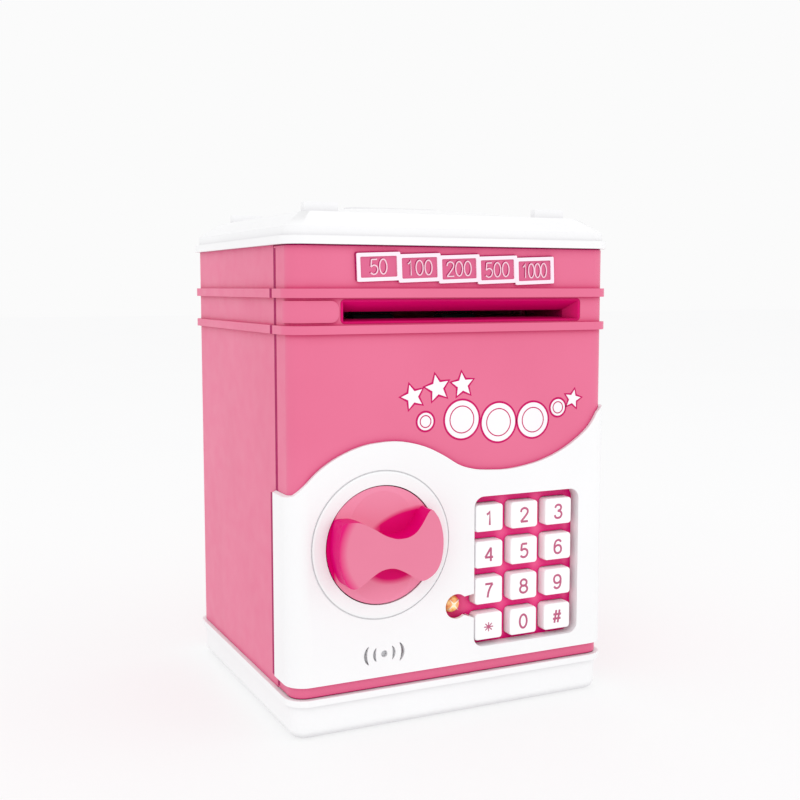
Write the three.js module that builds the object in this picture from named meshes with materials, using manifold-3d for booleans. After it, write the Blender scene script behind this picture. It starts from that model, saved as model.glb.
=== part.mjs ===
// Toy safe coin bank with a hinged front door, electronic keypad, turning lock knob and banknote feed.
// Millimetres. X runs left to right seen from the front, the front faces -Y and Z is up.
// The origin is on the underside of the base, below the middle of the body.
import * as THREE from 'three';
import { mergeVertices } from 'three/addons/utils/BufferGeometryUtils.js';
import ManifoldModule from 'manifold-3d';

const wasm = await ManifoldModule();
wasm.setup();
const { Manifold, Mesh: SolidMesh } = wasm;

// ---------- driving sizes ----------
const HALF_W = 65;
const HALF_D = 58.4;
const CORNER_R = 6;
const WALL = 2.2;
const FLOOR = 2.5;
const GAP = 0.05;
const BASE_TOP = 15.3;
const LID_Z = 175.2;
const LID_TOP = 186.9;
const DOOR_Z = [BASE_TOP + 0.5, LID_Z - 0.5];
const DOOR_BACK = -42.25;
const SHELL_FRONT = -41.75;
const HINGE_SIDE_FRONT = -41.2;
const HINGE_SIDE_TRIM = -44.75;
const HINGE = [60.5, -52];
const PIN_R = 2;
const BANDS = [[144.2, 147.2], [156.8, 160]];
const BAND_PROUD = 1.55;
const PANEL_PROUD = 1.5;
const FRONT = -HALF_D;
const INNER_FRONT = FRONT + WALL;
const PANEL_FRONT = FRONT - PANEL_PROUD;
const POSTS = [[-58.6, -6], [58.6, -6], [-58.6, 52], [58.6, 52]];
const POST_R = 3.6;
const BOSS_R = 4.3;

const KNOB = { x: -31.5, z: 68.5, r: 21.4, hole: 21.8, ring: 26.7, gripY: -68.9 };
const CUP_BACK = -53;
const CRANK = 5;
const BOLT_TRAVEL = 2 * CRANK * Math.SQRT1_2;
const BOLT_Y = [-38.2, -35.2];

const PAD = { x: [6.4, 52.6], z: [25.4, 82.8], r: 4 };
const PAD_PLATE_Y = [-54.5, -52.9];
const KEY = { w: 12, h: 10.4, r: 1.8, face: -58.8, back: -52 };
const KEY_X = [13.4, 28.75, 44.1];
const KEY_Z = [74.2, 60.3, 46.4, 32.6];
const KEY_NAMES = [
  ['key_1', 'key_2', 'key_3'],
  ['key_4', 'key_5', 'key_6'],
  ['key_7', 'key_8', 'key_9'],
  ['key_star', 'key_0', 'key_hash'],
];
const LIGHT = { x: -0.9, z: 42.2, r: 4.7 };
const SPEAKER = { x: -30.6, z: 28.3 };

const NOTE_SLOT = { x: [-46.2, 52.7], z: [147.9, 156.1] };
const DRIVE = [-42, 144.6];
const DRIVE_R = 6;
const PRESS = [-42, 155.4];
const PRESS_R = 4.5;
const MOTOR = [-36, 134.208];
const MODULE_MM = 0.8;
const DRIVE_TEETH = 20;
const PINION_TEETH = 10;
const TYRES = [[-36, -20], [0, 14]];

const COVER = { x: [-58, 58], y: [-47, -24], z: [20, 171], wall: 1.6 };
const COVER_SCREWS = [[-53, 25], [-2, 25], [-53, 166], [53, 166]];
const CELL_Z = [32.1, 47.6, 63.1];
const CELL_Y = -34.2;
const CELL_R = 7.1;
const BATTERY_SCREW = [28.5, 74];
const PLUNGER = [-10, -36.7];

// ---------- solid helpers ----------
function toSolid(geometry) {
  const bare = geometry.index ? geometry.toNonIndexed() : geometry;
  bare.deleteAttribute('normal');
  bare.deleteAttribute('uv');
  const merged = mergeVertices(bare, 1e-4);
  return new Manifold(new SolidMesh({
    numProp: 3,
    vertProperties: new Float32Array(merged.attributes.position.array),
    triVerts: new Uint32Array(merged.index.array),
  }));
}

function add(first, ...others) {
  return others.reduce((sum, other) => sum.add(other), first);
}

function cut(first, ...others) {
  return others.reduce((rest, other) => rest.subtract(other), first);
}

function keep(first, ...others) {
  return others.reduce((common, other) => common.intersect(other), first);
}

function block([x0, x1], [y0, y1], [z0, z1]) {
  const box = new THREE.BoxGeometry(x1 - x0, y1 - y0, z1 - z0);
  return toSolid(box.translate((x0 + x1) / 2, (y0 + y1) / 2, (z0 + z1) / 2));
}

// A flat outline pushed along one axis; the outline is given in the other two axes.
function prism(points, axis, from, to) {
  const shape = new THREE.Shape(points.map(([u, v]) => new THREE.Vector2(u, v)));
  const body = new THREE.ExtrudeGeometry(shape, { depth: to - from, bevelEnabled: false });
  const turn = new THREE.Matrix4();
  if (axis === 'x') {
    turn.makeBasis(new THREE.Vector3(0, 1, 0), new THREE.Vector3(0, 0, 1), new THREE.Vector3(1, 0, 0));
    body.applyMatrix4(turn).translate(from, 0, 0);
  } else if (axis === 'y') {
    turn.makeBasis(new THREE.Vector3(1, 0, 0), new THREE.Vector3(0, 0, 1), new THREE.Vector3(0, -1, 0));
    body.applyMatrix4(turn).translate(0, to, 0);
  } else {
    body.translate(0, 0, from);
  }
  return toSolid(body);
}

function circle([u, v], r, sides) {
  const points = [];
  for (let i = 0; i < sides; i += 1) {
    const a = (i / sides) * 2 * Math.PI;
    points.push([u + r * Math.cos(a), v + r * Math.sin(a)]);
  }
  return points;
}

function rod(axis, centre, r, from, to, sides = 16) {
  return prism(circle(centre, r, sides), axis, from, to);
}

function roundRect([u0, u1], [v0, v1], r, steps = 3) {
  const corners = [[u1 - r, v1 - r, 0], [u0 + r, v1 - r, 1], [u0 + r, v0 + r, 2], [u1 - r, v0 + r, 3]];
  const points = [];
  corners.forEach(([cu, cv, quarter]) => {
    for (let i = 0; i <= steps; i += 1) {
      const a = (quarter + i / steps) * (Math.PI / 2);
      points.push([cu + r * Math.cos(a), cv + r * Math.sin(a)]);
    }
  });
  return points;
}

// The body outline seen from above, grown outwards by the given amount.
function plan(grow) {
  const x = HALF_W + grow;
  const y = HALF_D + grow;
  return roundRect([-x, x], [-y, y], Math.max(CORNER_R + grow, 0.6), 4);
}

// A skin through rings of equal point count, closed with flat convex ends.
function loft(rings) {
  const count = rings[0].length;
  const index = [];
  for (let k = 0; k + 1 < rings.length; k += 1) {
    for (let i = 0; i < count; i += 1) {
      const a = k * count + i;
      const b = k * count + ((i + 1) % count);
      index.push(a, b, b + count, a, b + count, a + count);
    }
  }
  const last = (rings.length - 1) * count;
  for (let i = 1; i + 1 < count; i += 1) {
    index.push(0, i + 1, i);
    index.push(last, last + i, last + i + 1);
  }
  const skin = new THREE.BufferGeometry();
  skin.setAttribute('position', new THREE.Float32BufferAttribute(rings.flat(2), 3));
  skin.setIndex(index);
  return toSolid(skin);
}

function atZ(points, z) {
  return points.map(([x, y]) => [x, y, z]);
}

function atY(points, y) {
  return points.map(([x, z]) => [x, y, z]);
}

// Revolved about an axis; the profile is [radius, position along the axis], starting and ending on it.
function turned(axis, [u, v], profile, sides = 16) {
  const spun = new THREE.LatheGeometry(profile.map(([r, h]) => new THREE.Vector2(r, h)), sides);
  if (axis === 'x') {
    spun.rotateZ(-Math.PI / 2).translate(0, u, v);
  } else if (axis === 'z') {
    spun.rotateX(Math.PI / 2).translate(u, v, 0);
  } else {
    spun.translate(u, 0, v);
  }
  return toSolid(spun);
}

function ringAround(outer, inner, z0, z1) {
  return cut(prism(plan(outer), 'z', z0, z1), prism(plan(inner), 'z', z0 - 1, z1 + 1));
}

const FAR = 200;

function infront(y) {
  return block([-FAR, FAR], [-FAR, y], [-FAR, 2 * FAR]);
}

function behind(y) {
  return block([-FAR, FAR], [y, FAR], [-FAR, 2 * FAR]);
}

// Part of the hinge side that is taken away so the opening door clears the rear shell.
function hingeSide(yFrom, yTo, xFrom = 55) {
  return block([xFrom, FAR], [yFrom, yTo], [-FAR, 2 * FAR]);
}

// A screw post webbed to the wall beside it.
function makePost([x, y], z0, z1, r = POST_R) {
  const side = Math.sign(x);
  const web = [x, side * (HALF_W - 1)].sort((a, b) => a - b);
  const post = add(rod('z', [x, y], r, z0, z1), block(web, [y - 3, y + 3], [z0, z1]));
  return y > 0 ? add(post, block([x - 3, x + 3], [y, HALF_D - 1], [z0, z1])) : post;
}

// ---------- cabinet ----------
function makeRearShell() {
  const z0 = BASE_TOP + GAP;
  const z1 = LID_Z - GAP;
  let shell = ringAround(0, -WALL, z0, z1);
  BANDS.forEach(([a, b]) => {
    shell = add(shell, ringAround(BAND_PROUD, -1, a, b));
  });
  shell = cut(keep(shell, behind(SHELL_FRONT)), hingeSide(-FAR, HINGE_SIDE_FRONT));
  POSTS.forEach((post) => {
    shell = add(shell, makePost(post, z0, z1));
  });
  POSTS.forEach((post) => {
    shell = cut(shell, rod('z', post, 1.55, z0 - 1, 33), rod('z', post, 2, 163, z1 + 1));
  });
  return shell;
}

function makeBase() {
  const fillet = 4.2;
  const rings = [0, 45, 90].map((degrees) => {
    const a = (degrees * Math.PI) / 180;
    return atZ(plan(-fillet * (1 - Math.sin(a))), fillet * (1 - Math.cos(a)));
  });
  rings.push(atZ(plan(0), 12.9), atZ(plan(1.6), 12.9), atZ(plan(1.6), BASE_TOP));
  let base = cut(loft(rings), prism(plan(-WALL - 0.6), 'z', FLOOR, BASE_TOP + 1));
  base = add(base, rod('z', HINGE, 4, FLOOR - 0.5, BASE_TOP));
  POSTS.forEach((post) => {
    base = add(base, makePost(post, FLOOR - 0.5, BASE_TOP, BOSS_R));
  });
  POSTS.forEach((post) => {
    base = cut(base, rod('z', post, 1.7, -1, BASE_TOP + 1), rod('z', post, 3.3, -1, 5));
  });
  return cut(base, rod('z', HINGE, PIN_R + 0.02, 5, BASE_TOP + 1));
}

function makeLid() {
  const topRing = (x, y, r, z) => atZ(roundRect([-x, x], [-y, y], r, 4), z);
  let lid = loft([
    atZ(plan(2), LID_Z),
    atZ(plan(2), 178.1),
    atZ(plan(0.5), 178.1),
    atZ(plan(0.5), 181.3),
    topRing(57.4, 51, 4, LID_TOP),
  ]);
  lid = cut(lid, loft([atZ(plan(-WALL), LID_Z - 1), atZ(plan(-WALL), 180.6), topRing(55.4, 49, 3, 184.7)]));
  const crown = [[-43, 186.4], [43, 186.4], [40.5, 188.6], [31, 190.6], [16, 191.4], [0, 191.6],
    [-16, 191.4], [-31, 190.6], [-40.5, 188.6]];
  const hollow = [[-39, 183], [39, 183], [38.5, 187], [30, 188.7], [0, 189.6], [-30, 188.7], [-38.5, 187]];
  const arch = (outline, floor, half) => loft([1, 0.8, 0.6, 0.3, 0, -0.3, -0.6, -0.8, -1].map((along) => {
    const share = 1 - 0.8 * along * along;
    return atY(outline.map(([x, z]) => [x, floor + (z - floor) * share]), along * half);
  }));
  lid = add(lid, arch(crown, 186, 46));
  lid = cut(lid, arch(hollow, 184, 43.8));
  [-1, 1].forEach((sx) => {
    [-1, 1].forEach((sy) => {
      const xs = [sx * 41.2, sx * 54.2].sort((a, b) => a - b);
      const ys = [sy * 40.8, sy * 44].sort((a, b) => a - b);
      lid = add(lid, block(xs, ys, [185.5, 190.5]));
    });
  });
  lid = add(lid, prism(roundRect([-20, 20], [-5, 5], 4), 'z', 189, 192.1));
  const lip = cut(ringAround(-WALL - 0.25, -WALL - 2, 172.6, LID_Z + 0.2), infront(-38));
  lid = add(lid, cut(lip, ...POSTS.map((post) => makePost(post, 170, LID_Z - 0.02))));
  POSTS.forEach((post) => {
    lid = add(lid, makePost(post, LID_Z, 181), rod('z', post, 1.95, 165, LID_Z + 1));
  });
  lid = add(lid, rod('z', HINGE, 4, LID_Z, 181.2));
  return cut(lid, rod('z', HINGE, PIN_R + 0.02, LID_Z - 1, 181), block([-17, 17], [-2.5, 2.5], [180, 195]));
}

// The keeper behind which the bolt catches, with a slope on its inner front edge.
function makeStrikePlate() {
  const inner = -59.6;
  const wall = -HALF_W + WALL + GAP;
  const outline = [[wall, -41.2], [inner - 0.8, -41.2], [inner, -40.4], [inner, -38.6], [wall, -38.6]];
  return prism(outline, 'z', 56, 74);
}

function makeBaseScrew([x, y]) {
  return turned('z', [x, y], [[0, 2.6], [2.9, 2.6], [2.9, 4.9], [1.5, 4.9], [1.5, 29], [0, 31]], 10);
}

// ---------- door ----------
function lightWindow(grow) {
  const spot = circle([LIGHT.x, LIGHT.z], LIGHT.r + grow, 20);
  const neck = [
    [LIGHT.x + 2, LIGHT.z - 3.2 - grow],
    [PAD.x[0] + 2.5, LIGHT.z - 6.2 - grow],
    [PAD.x[0] + 2.5, LIGHT.z + 4.4 + grow],
    [LIGHT.x + 2, LIGHT.z + 3.2 + grow],
  ];
  return add(prism(spot, 'y', -70, -54.55), prism(neck, 'y', -70, -54.55));
}

function padWindow(grow, from, to) {
  const xs = [PAD.x[0] - grow, PAD.x[1] + grow];
  const zs = [PAD.z[0] - grow, PAD.z[1] + grow];
  return prism(roundRect(xs, zs, PAD.r + grow), 'y', from, to);
}

function makeDoorShell() {
  let shell = cut(prism(plan(0), 'z', ...DOOR_Z), prism(plan(-WALL), 'z', DOOR_Z[0] + WALL, DOOR_Z[1] - WALL));
  BANDS.forEach(([a, b]) => {
    shell = add(shell, cut(ringAround(BAND_PROUD, -1, a, b), hingeSide(HINGE_SIDE_TRIM, FAR)));
  });
  shell = keep(shell, infront(DOOR_BACK));
  const relief = [[HALF_W + 1, DOOR_BACK - 2], [HALF_W + 1, DOOR_BACK + 1], [HALF_W - 2, DOOR_BACK + 1]];
  shell = cut(shell, prism(relief, 'z', 0, 200));
  const knobAt = [KNOB.x, KNOB.z];
  shell = add(
    shell,
    rod('y', knobAt, 24, FRONT, CUP_BACK + 1.6, 32),
    rod('y', knobAt, 6.5, CUP_BACK, -46),
    rod('z', HINGE, 4, DOOR_Z[0], 20),
    rod('z', HINGE, 4, 162, DOOR_Z[1]),
    ...COVER_SCREWS.map((at) => rod('y', at, 2.6, INNER_FRONT - 0.5, -25.8, 16)),
  );
  const slot = roundRect([NOTE_SLOT.x[0] - 0.3, NOTE_SLOT.x[1] + 0.3], [147.6, 156.4], 1.7);
  return cut(
    shell,
    rod('y', knobAt, 22.2, -70, CUP_BACK, 32),
    rod('y', knobAt, 4.33, -60, -40, 32),
    rod('z', HINGE, PIN_R + 0.05, DOOR_Z[0] - 1, 27),
    rod('z', HINGE, PIN_R + 0.05, 163.5, DOOR_Z[1] + 1),
    padWindow(1.5, -70, -50),
    lightWindow(1.3),
    rod('y', [SPEAKER.x, SPEAKER.z], 8.5, -70, -50),
    prism(slot, 'y', -70, -50),
    ...COVER_SCREWS.map((at) => rod('y', at, 1.05, -38, -20, 16)),
  );
}

// A slot shaped like a sound wave, widest in its middle.
function soundArc(side, middle, r, thick, span) {
  const shares = [-1, -0.7, -0.35, 0, 0.35, 0.7, 1];
  const at = (share, reach) => [
    SPEAKER.x + side * (middle + reach * Math.cos(span * share)),
    SPEAKER.z + reach * Math.sin(span * share),
  ];
  const outer = shares.map((share) => at(share, r));
  const inner = shares.map((share) => at(-share, r - thick * (1 - 0.75 * share * share)));
  return prism([...outer, ...inner], 'y', -70, -50);
}

function makeDoorPanel() {
  const wave = [
    [-68, 87], [-64, 88.5], [-60, 92.9], [-56.5, 95.9], [-50.5, 100], [-44.5, 102.8], [-38.4, 104.7],
    [-32.2, 105.5], [-25.9, 105.6], [-19.5, 104.6], [-13.1, 102.6], [-6.5, 99.3], [0.2, 95.3], [6.9, 93.3],
    [13.8, 92.6], [20.7, 92.45], [27.7, 93.2], [34.8, 94.6], [42, 97], [49.2, 100.7], [56.5, 106.1],
    [61, 112.2], [64, 114], [68, 114.5],
  ];
  const outline = [[68, 19.9], [-68, 19.9], ...wave];
  let panel = ringAround(PANEL_PROUD, GAP, 18, 120);
  panel = keep(panel, infront(DOOR_BACK - 0.05), prism(outline, 'y', -70, 0));
  panel = cut(panel, hingeSide(HINGE_SIDE_TRIM, FAR));
  panel = add(
    panel,
    rod('y', [KNOB.x, KNOB.z], KNOB.ring, PANEL_FRONT - 0.45, FRONT - 0.5, 32),
    padWindow(1.2, FRONT - 1, PAD_PLATE_Y[0] - 0.1),
  );
  return cut(
    panel,
    padWindow(0, -70, -50),
    lightWindow(0),
    rod('y', [KNOB.x, KNOB.z], KNOB.hole, -70, -50, 32),
    ...[-1, 1].flatMap((side) => [soundArc(side, 3.9, 4.2, 1.35, 0.98), soundArc(side, 1.2, 3.3, 1.2, 0.9)]),
    rod('y', [SPEAKER.x, SPEAKER.z], 1.25, -70, -50, 12),
  );
}

function makeDenominationStrip() {
  const tilt = (2.2 * Math.PI) / 180;
  const cards = [];
  for (let i = 0; i < 5; i += 1) {
    const x = -32.2 + i * 16;
    const z = 167.6 - i * 0.25;
    const turnCard = (outline) => outline.map(([u, v]) => [
      x + u * Math.cos(tilt) - v * Math.sin(tilt),
      z + u * Math.sin(tilt) + v * Math.cos(tilt),
    ]);
    const card = turnCard([[-8.4, -5], [8.4, -5], [8.4, 5], [-8.4, 5]]);
    const well = turnCard([[-6.95, -3.55], [6.95, -3.55], [6.95, 3.55], [-6.95, 3.55]]);
    cards.push([prism(card, 'y', FRONT - 1, FRONT - GAP), prism(well, 'y', -70, FRONT - 0.55)]);
  }
  return cut(add(...cards.map(([card]) => card)), ...cards.map(([, well]) => well));
}

function makeNoteBezel() {
  const rect = ([x0, x1], [z0, z1], y) => [[x0, y, z0], [x0, y, z1], [x1, y, z1], [x1, y, z0]];
  const body = add(
    prism(roundRect(NOTE_SLOT.x, NOTE_SLOT.z, 1.4), 'y', FRONT, -54),
    block([-50, 56], [-55.9, -54.4], [144.5, 159.5]),
    block([-47, 50], [-55, -51], [146.9, 155.6]),
  );
  const funnel = loft([
    rect([-45.5, 52], [148.5, 155.5], FRONT - 0.1),
    rect([-44.9, 48], [148.7, 153.4], -53.5),
    rect([-44.9, 48], [148.7, 153.4], -50),
  ]);
  return cut(body, funnel);
}

function makeKeypadPlate() {
  const tab = roundRect([-8.5, 20], [LIGHT.z - 7, LIGHT.z + 7], 3);
  const holes = [];
  KEY_X.forEach((x) => {
    KEY_Z.forEach((z) => {
      const w = KEY.w / 2 + 0.25;
      const h = KEY.h / 2 + 0.25;
      holes.push(prism(roundRect([x - w, x + w], [z - h, z + h], KEY.r + 0.25, 2), 'y', -60, -50));
    });
  });
  const plate = add(padWindow(2.2, ...PAD_PLATE_Y), prism(tab, 'y', ...PAD_PLATE_Y));
  return cut(plate, ...holes, rod('y', [LIGHT.x, LIGHT.z], 3.5, -60, -50));
}

function makeKey(x, z) {
  const face = (grow, y) => atY(
    roundRect([x - KEY.w / 2 - grow, x + KEY.w / 2 + grow], [z - KEY.h / 2 - grow, z + KEY.h / 2 + grow],
      KEY.r + grow, 2),
    y,
  );
  const cap = loft([face(0, KEY.back), face(0, KEY.face + 0.6), face(-0.6, KEY.face)]);
  const flange = block([x - 6.8, x + 6.8], [-52.7, KEY.back], [z - 5.9, z + 5.9]);
  const stub = block([x - 2, x + 2], [KEY.back - 0.1, -51.75], [z - 2, z + 2]);
  return add(cap, flange, stub);
}

function makeMainBoard() {
  const outline = [[3, 22.5], [55.8, 22.5], [55.8, 86], [-7, 86], [-7, 32], [3, 32]];
  const board = prism(outline, 'y', -49.3, -47.7);
  const chips = [
    block([30, 42], [-47.8, -46.2], [78, 84]),
    block([8, 14], [-47.8, -45.2], [77, 84]),
  ];
  return add(board, ...chips);
}

function makeSpeaker() {
  return turned('y', [SPEAKER.x, SPEAKER.z], [[0, -52.6], [2.6, -52.2], [3, -51.6], [7.8, -54.2], [9.7, -55.6],
    [9.7, -54.2], [6.5, -49.5], [6.5, -46.8], [0, -46.8]], 20);
}

function makeInnerCover() {
  const inset = (pair, by) => [pair[0] + by, pair[1] - by];
  const outer = prism(roundRect(COVER.x, COVER.z, 3), 'y', ...COVER.y);
  const inner = prism(roundRect(inset(COVER.x, COVER.wall), inset(COVER.z, COVER.wall), 1.6), 'y',
    COVER.y[0] - 1, COVER.y[1] - COVER.wall);
  return cut(
    outer,
    inner,
    block([-60, -50], [-38.7, -34.7], [59.5, 70.5]),
    block([-45, 47], [-27, -20], [148, 153.2]),
    block([2.2, 54.2], [-27, -20], [24.8, 76]),
    ...COVER_SCREWS.map((at) => rod('y', at, 1.2, -27, -20, 16)),
  );
}

function makeSmallScrew(at, length) {
  return turned('y', at, [[0, -24 - length], [1, -23 - length], [1, -23.95], [2.2, -23.95], [2.2, -22.8],
    [1.5, -22.4], [0, -22.4]], 10);
}

function makeBatteryTray() {
  const body = add(
    block([0.9, 56.1], [-42.9, -26.2], [23.4, 71.8]),
    block([BATTERY_SCREW[0] - 3.5, BATTERY_SCREW[0] + 3.5], [-34, -26.2], [71, 77]),
  );
  const pocket = block([2.7, 54.3], [-41.4, -20], [24.9, 70.3]);
  const ribs = [39.85, 55.35].map((z) => block([2, 55], [-42, -35], [z - 0.4, z + 0.4]));
  return cut(add(cut(body, pocket), ...ribs), rod('y', BATTERY_SCREW, 1.05, -36, -20, 16));
}

function makeCell(z, plusRight) {
  const profile = [[0, 0], [CELL_R, 0], [CELL_R, 49.4], [2.7, 49.4], [2.7, 50.4], [0, 50.4]];
  const flipped = profile.map(([r, h]) => [r, 50.4 - h]).reverse();
  const placed = (plusRight ? profile : flipped).map(([r, h]) => [r, h + 3.3]);
  return turned('x', [CELL_Y, z], placed, 20);
}

function makeBatteryCover() {
  const plate = block([2.5, 53.9], [COVER.y[1] - COVER.wall, COVER.y[1]], [25.1, 75.7]);
  const ribs = [36, 44, 52, 60].map((z) => block([12, 45], [-24.5, -23.2], [z, z + 1.5]));
  return cut(add(plate, ...ribs), rod('y', BATTERY_SCREW, 1.1, -27, -20, 16));
}

// ---------- lock ----------
function makeKnob() {
  const at = [KNOB.x, KNOB.z];
  const grip = [
    [-18.7, 10.4], [-16, 11.1], [-11.9, 10.6], [-7.1, 8.2], [-2.8, 5.5], [1, 4], [3.5, 3.7], [6.5, 4],
    [9.3, 5.4], [11.6, 8], [15, 13], [17.2, 11.5], [19, 8.1], [20.2, 2.3], [19.6, -4.8], [17.2, -9.7],
    [12.7, -12.3], [9.3, -11.2], [4.9, -8.4], [0.5, -6.6], [-3.9, -6.9], [-7.6, -8.8], [-10.3, -10.7],
    [-13.5, -12.4], [-16.7, -11.5], [-18.9, -6.8], [-20.2, -0.7], [-19.9, 5],
  ].map(([u, v]) => [u + KNOB.x, v + KNOB.z]);
  let knob = rod('y', at, KNOB.r, PANEL_FRONT - 0.1, CUP_BACK - 0.35, 32);
  const scoop = (z) => {
    const ball = new THREE.SphereGeometry(20, 20, 10);
    return toSolid(ball.translate(KNOB.x, -76.5, KNOB.z + z));
  };
  knob = cut(knob, keep(add(scoop(7), scoop(-9)), rod('y', at, 19.9, -70, -40, 32)));
  knob = add(knob, prism(grip, 'y', KNOB.gripY, -55), rod('y', at, 4.25, -56, -44, 32));
  return cut(knob, block([KNOB.x - 2.6, KNOB.x + 2.6], [-52, -40], [KNOB.z - 2.6, KNOB.z + 2.6]),
    rod('y', at, 1.25, -56, -50, 16));
}

function makeCrank() {
  const at = [KNOB.x, KNOB.z];
  const pin = [KNOB.x + CRANK * Math.SQRT1_2, KNOB.z - CRANK * Math.SQRT1_2];
  const body = add(
    rod('y', at, 7.2, -43, -40.2, 32),
    block([KNOB.x - 2.5, KNOB.x + 2.5], [-51.5, -42.5], [KNOB.z - 2.5, KNOB.z + 2.5]),
    rod('y', pin, 1.5, -40.6, -35.6, 20),
  );
  return cut(body, rod('y', at, 1.25, -55, -40, 16), rod('y', at, 2.3, -41.8, -40, 16));
}

function makeKnobScrew() {
  return turned('y', [KNOB.x, KNOB.z], [[0, -55.6], [1.15, -54.6], [1.15, -41.75], [2.1, -41.75], [2.1, -40.6],
    [0, -40.6]], 16);
}

function makeLockBolt() {
  const slotX = KNOB.x + CRANK * Math.SQRT1_2;
  const notches = [PLUNGER[0], PLUNGER[0] + BOLT_TRAVEL].map((x) => block([x - 1.9, x + 1.9], [-40, -30], [68.8, 73]));
  return cut(
    add(block([-48.5, 0.4], BOLT_Y, [58, 72]), block([-54, -48], BOLT_Y, [60, 70])),
    block([slotX - 1.75, slotX + 1.75], [-40, -30], [61.4, 67.2]),
    ...notches,
  );
}

function makeBoltGuide() {
  return add(
    block([-50, -14], [-34.9, -33.3], [55.6, 74.4]),
    block([-50, -14], [-39.8, -34], [55.6, 57.8]),
    block([-50, -14], [-39.8, -34], [72.2, 74.4]),
    block([-50, -14], [-39.8, -38.5], [57, 59.6]),
    block([-50, -14], [-39.8, -38.5], [70.4, 73]),
    block([-46, -42], [-34, -25.7], [60, 70]),
    block([-22, -18], [-34, -25.7], [60, 70]),
  );
}

function makeSolenoidFrame() {
  const frame = add(
    block([-20, 0], [-43, -30], [76, 77.6]),
    block([-20, 0], [-43, -30], [96.4, 98]),
    block([-20, -18.4], [-43, -30], [77, 97]),
    block([-20, -18.4], [-31.5, -25.7], [80, 94]),
  );
  return cut(frame, rod('z', PLUNGER, 1.7, 70, 100, 20));
}

function makeSolenoidCoil() {
  const spool = rod('z', PLUNGER, 6.2, 77.7, 96.3, 20);
  return cut(spool, rod('z', PLUNGER, 1.7, 70, 100, 20));
}

function makePlunger() {
  return turned('z', PLUNGER, [[0, 72.4], [1, 72.4], [1.5, 73.2], [1.5, 101.2], [2.6, 101.2], [2.6, 102.4],
    [0, 102.4]], 20);
}

// ---------- note feed ----------
function makeNoteGuide() {
  const sheet = block([-48, 50], [-50.8, -26.6], [146.9, 154.1]);
  const cheeks = [
    block([-48, -46], [-48, -26.6], [140, 160]),
    block([48, 50], [-48, -26.6], [122.5, 160]),
  ];
  const windows = TYRES.map(([a, b]) => block([a - 1.2, b + 1.2], [-48.9, -35.1], [140, 160]));
  return cut(
    add(sheet, ...cheeks),
    block([-46, 48], [-52, -20], [149.2, 151.8]),
    ...windows,
    rod('x', DRIVE, 1.55, -60, 60),
    rod('x', PRESS, 1.25, -60, 60),
    rod('x', MOTOR, 3, 40, 60),
  );
}

function makeTyre([from, to]) {
  return cut(rod('x', DRIVE, DRIVE_R, from, to, 20), rod('x', DRIVE, 1.52, from - 1, to + 1));
}

function makePressureRoller() {
  return add(rod('x', PRESS, 1.2, -49.5, 50.5), ...TYRES.map(([a, b]) => rod('x', PRESS, PRESS_R, a, b, 20)));
}

// Spur gear outline with involute flanks, one tooth centred at the given angle.
function gearOutline([u, v], teeth, phase) {
  const pressure = (25 * Math.PI) / 180;
  const pitchR = (MODULE_MM * teeth) / 2;
  const baseR = pitchR * Math.cos(pressure);
  const tipR = pitchR + 0.75 * MODULE_MM;
  const rootR = pitchR - 1.1 * MODULE_MM;
  const backlash = 0.2;
  const involute = (a) => Math.tan(a) - a;
  const halfPitch = ((Math.PI * MODULE_MM) / 2 - backlash) / 2 / pitchR;
  const halfAngle = (r) => {
    const a = r > baseR ? Math.acos(baseR / r) : 0;
    return halfPitch + involute(pressure) - involute(a);
  };
  const radii = [rootR, pitchR, tipR];
  const points = [];
  for (let i = 0; i < teeth; i += 1) {
    const middle = phase + (i / teeth) * 2 * Math.PI;
    const put = (r, a) => points.push([u + r * Math.cos(middle + a), v + r * Math.sin(middle + a)]);
    radii.forEach((r) => put(r, -halfAngle(r)));
    [...radii].reverse().forEach((r) => put(r, halfAngle(r)));
  }
  return points;
}

const MESH_ANGLE = Math.atan2(MOTOR[1] - DRIVE[1], MOTOR[0] - DRIVE[0]);

function makeDriveGear() {
  const gear = prism(gearOutline(DRIVE, DRIVE_TEETH, MESH_ANGLE), 'x', 51, 54.2);
  return cut(gear, rod('x', DRIVE, 1.52, 50, 56));
}

function makeMotorPinion() {
  const phase = MESH_ANGLE + Math.PI + Math.PI / PINION_TEETH;
  return add(prism(gearOutline(MOTOR, PINION_TEETH, phase), 'x', 51, 54.2), rod('x', MOTOR, 1, 41, 53, 16));
}

function makeFeedMotor() {
  const can = keep(rod('x', MOTOR, 9, 24, 47.5, 20), block([20, 50], [-45.5, -26.5], [126.7, 141.7]));
  return cut(add(can, rod('x', MOTOR, 3, 21, 25, 16)), rod('x', MOTOR, 1.1, 40, 50, 16));
}

// ---------- assembly ----------
const MATERIALS = {
  pink: { color: 0xee7ca0, roughness: 0.35, metalness: 0 },
  magenta: { color: 0xc80f68, roughness: 0.35, metalness: 0 },
  white: { color: 0xf6f6f6, roughness: 0.32, metalness: 0 },
  grey: { color: 0x8a8c90, roughness: 0.5, metalness: 0 },
  dark: { color: 0x2a2a2c, roughness: 0.6, metalness: 0 },
  steel: { color: 0xb9bcc0, roughness: 0.3, metalness: 1 },
  copper: { color: 0xa2562a, roughness: 0.4, metalness: 1 },
  board: { color: 0x1c6b3a, roughness: 0.5, metalness: 0 },
  rubber: { color: 0x3a3a3c, roughness: 0.85, metalness: 0 },
  amber: { color: 0xe8902c, roughness: 0.1, metalness: 0 },
  cell: { color: 0x37455c, roughness: 0.4, metalness: 0.3 },
};

const bank = new THREE.Group();
bank.name = 'toy_safe_coin_bank';

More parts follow.
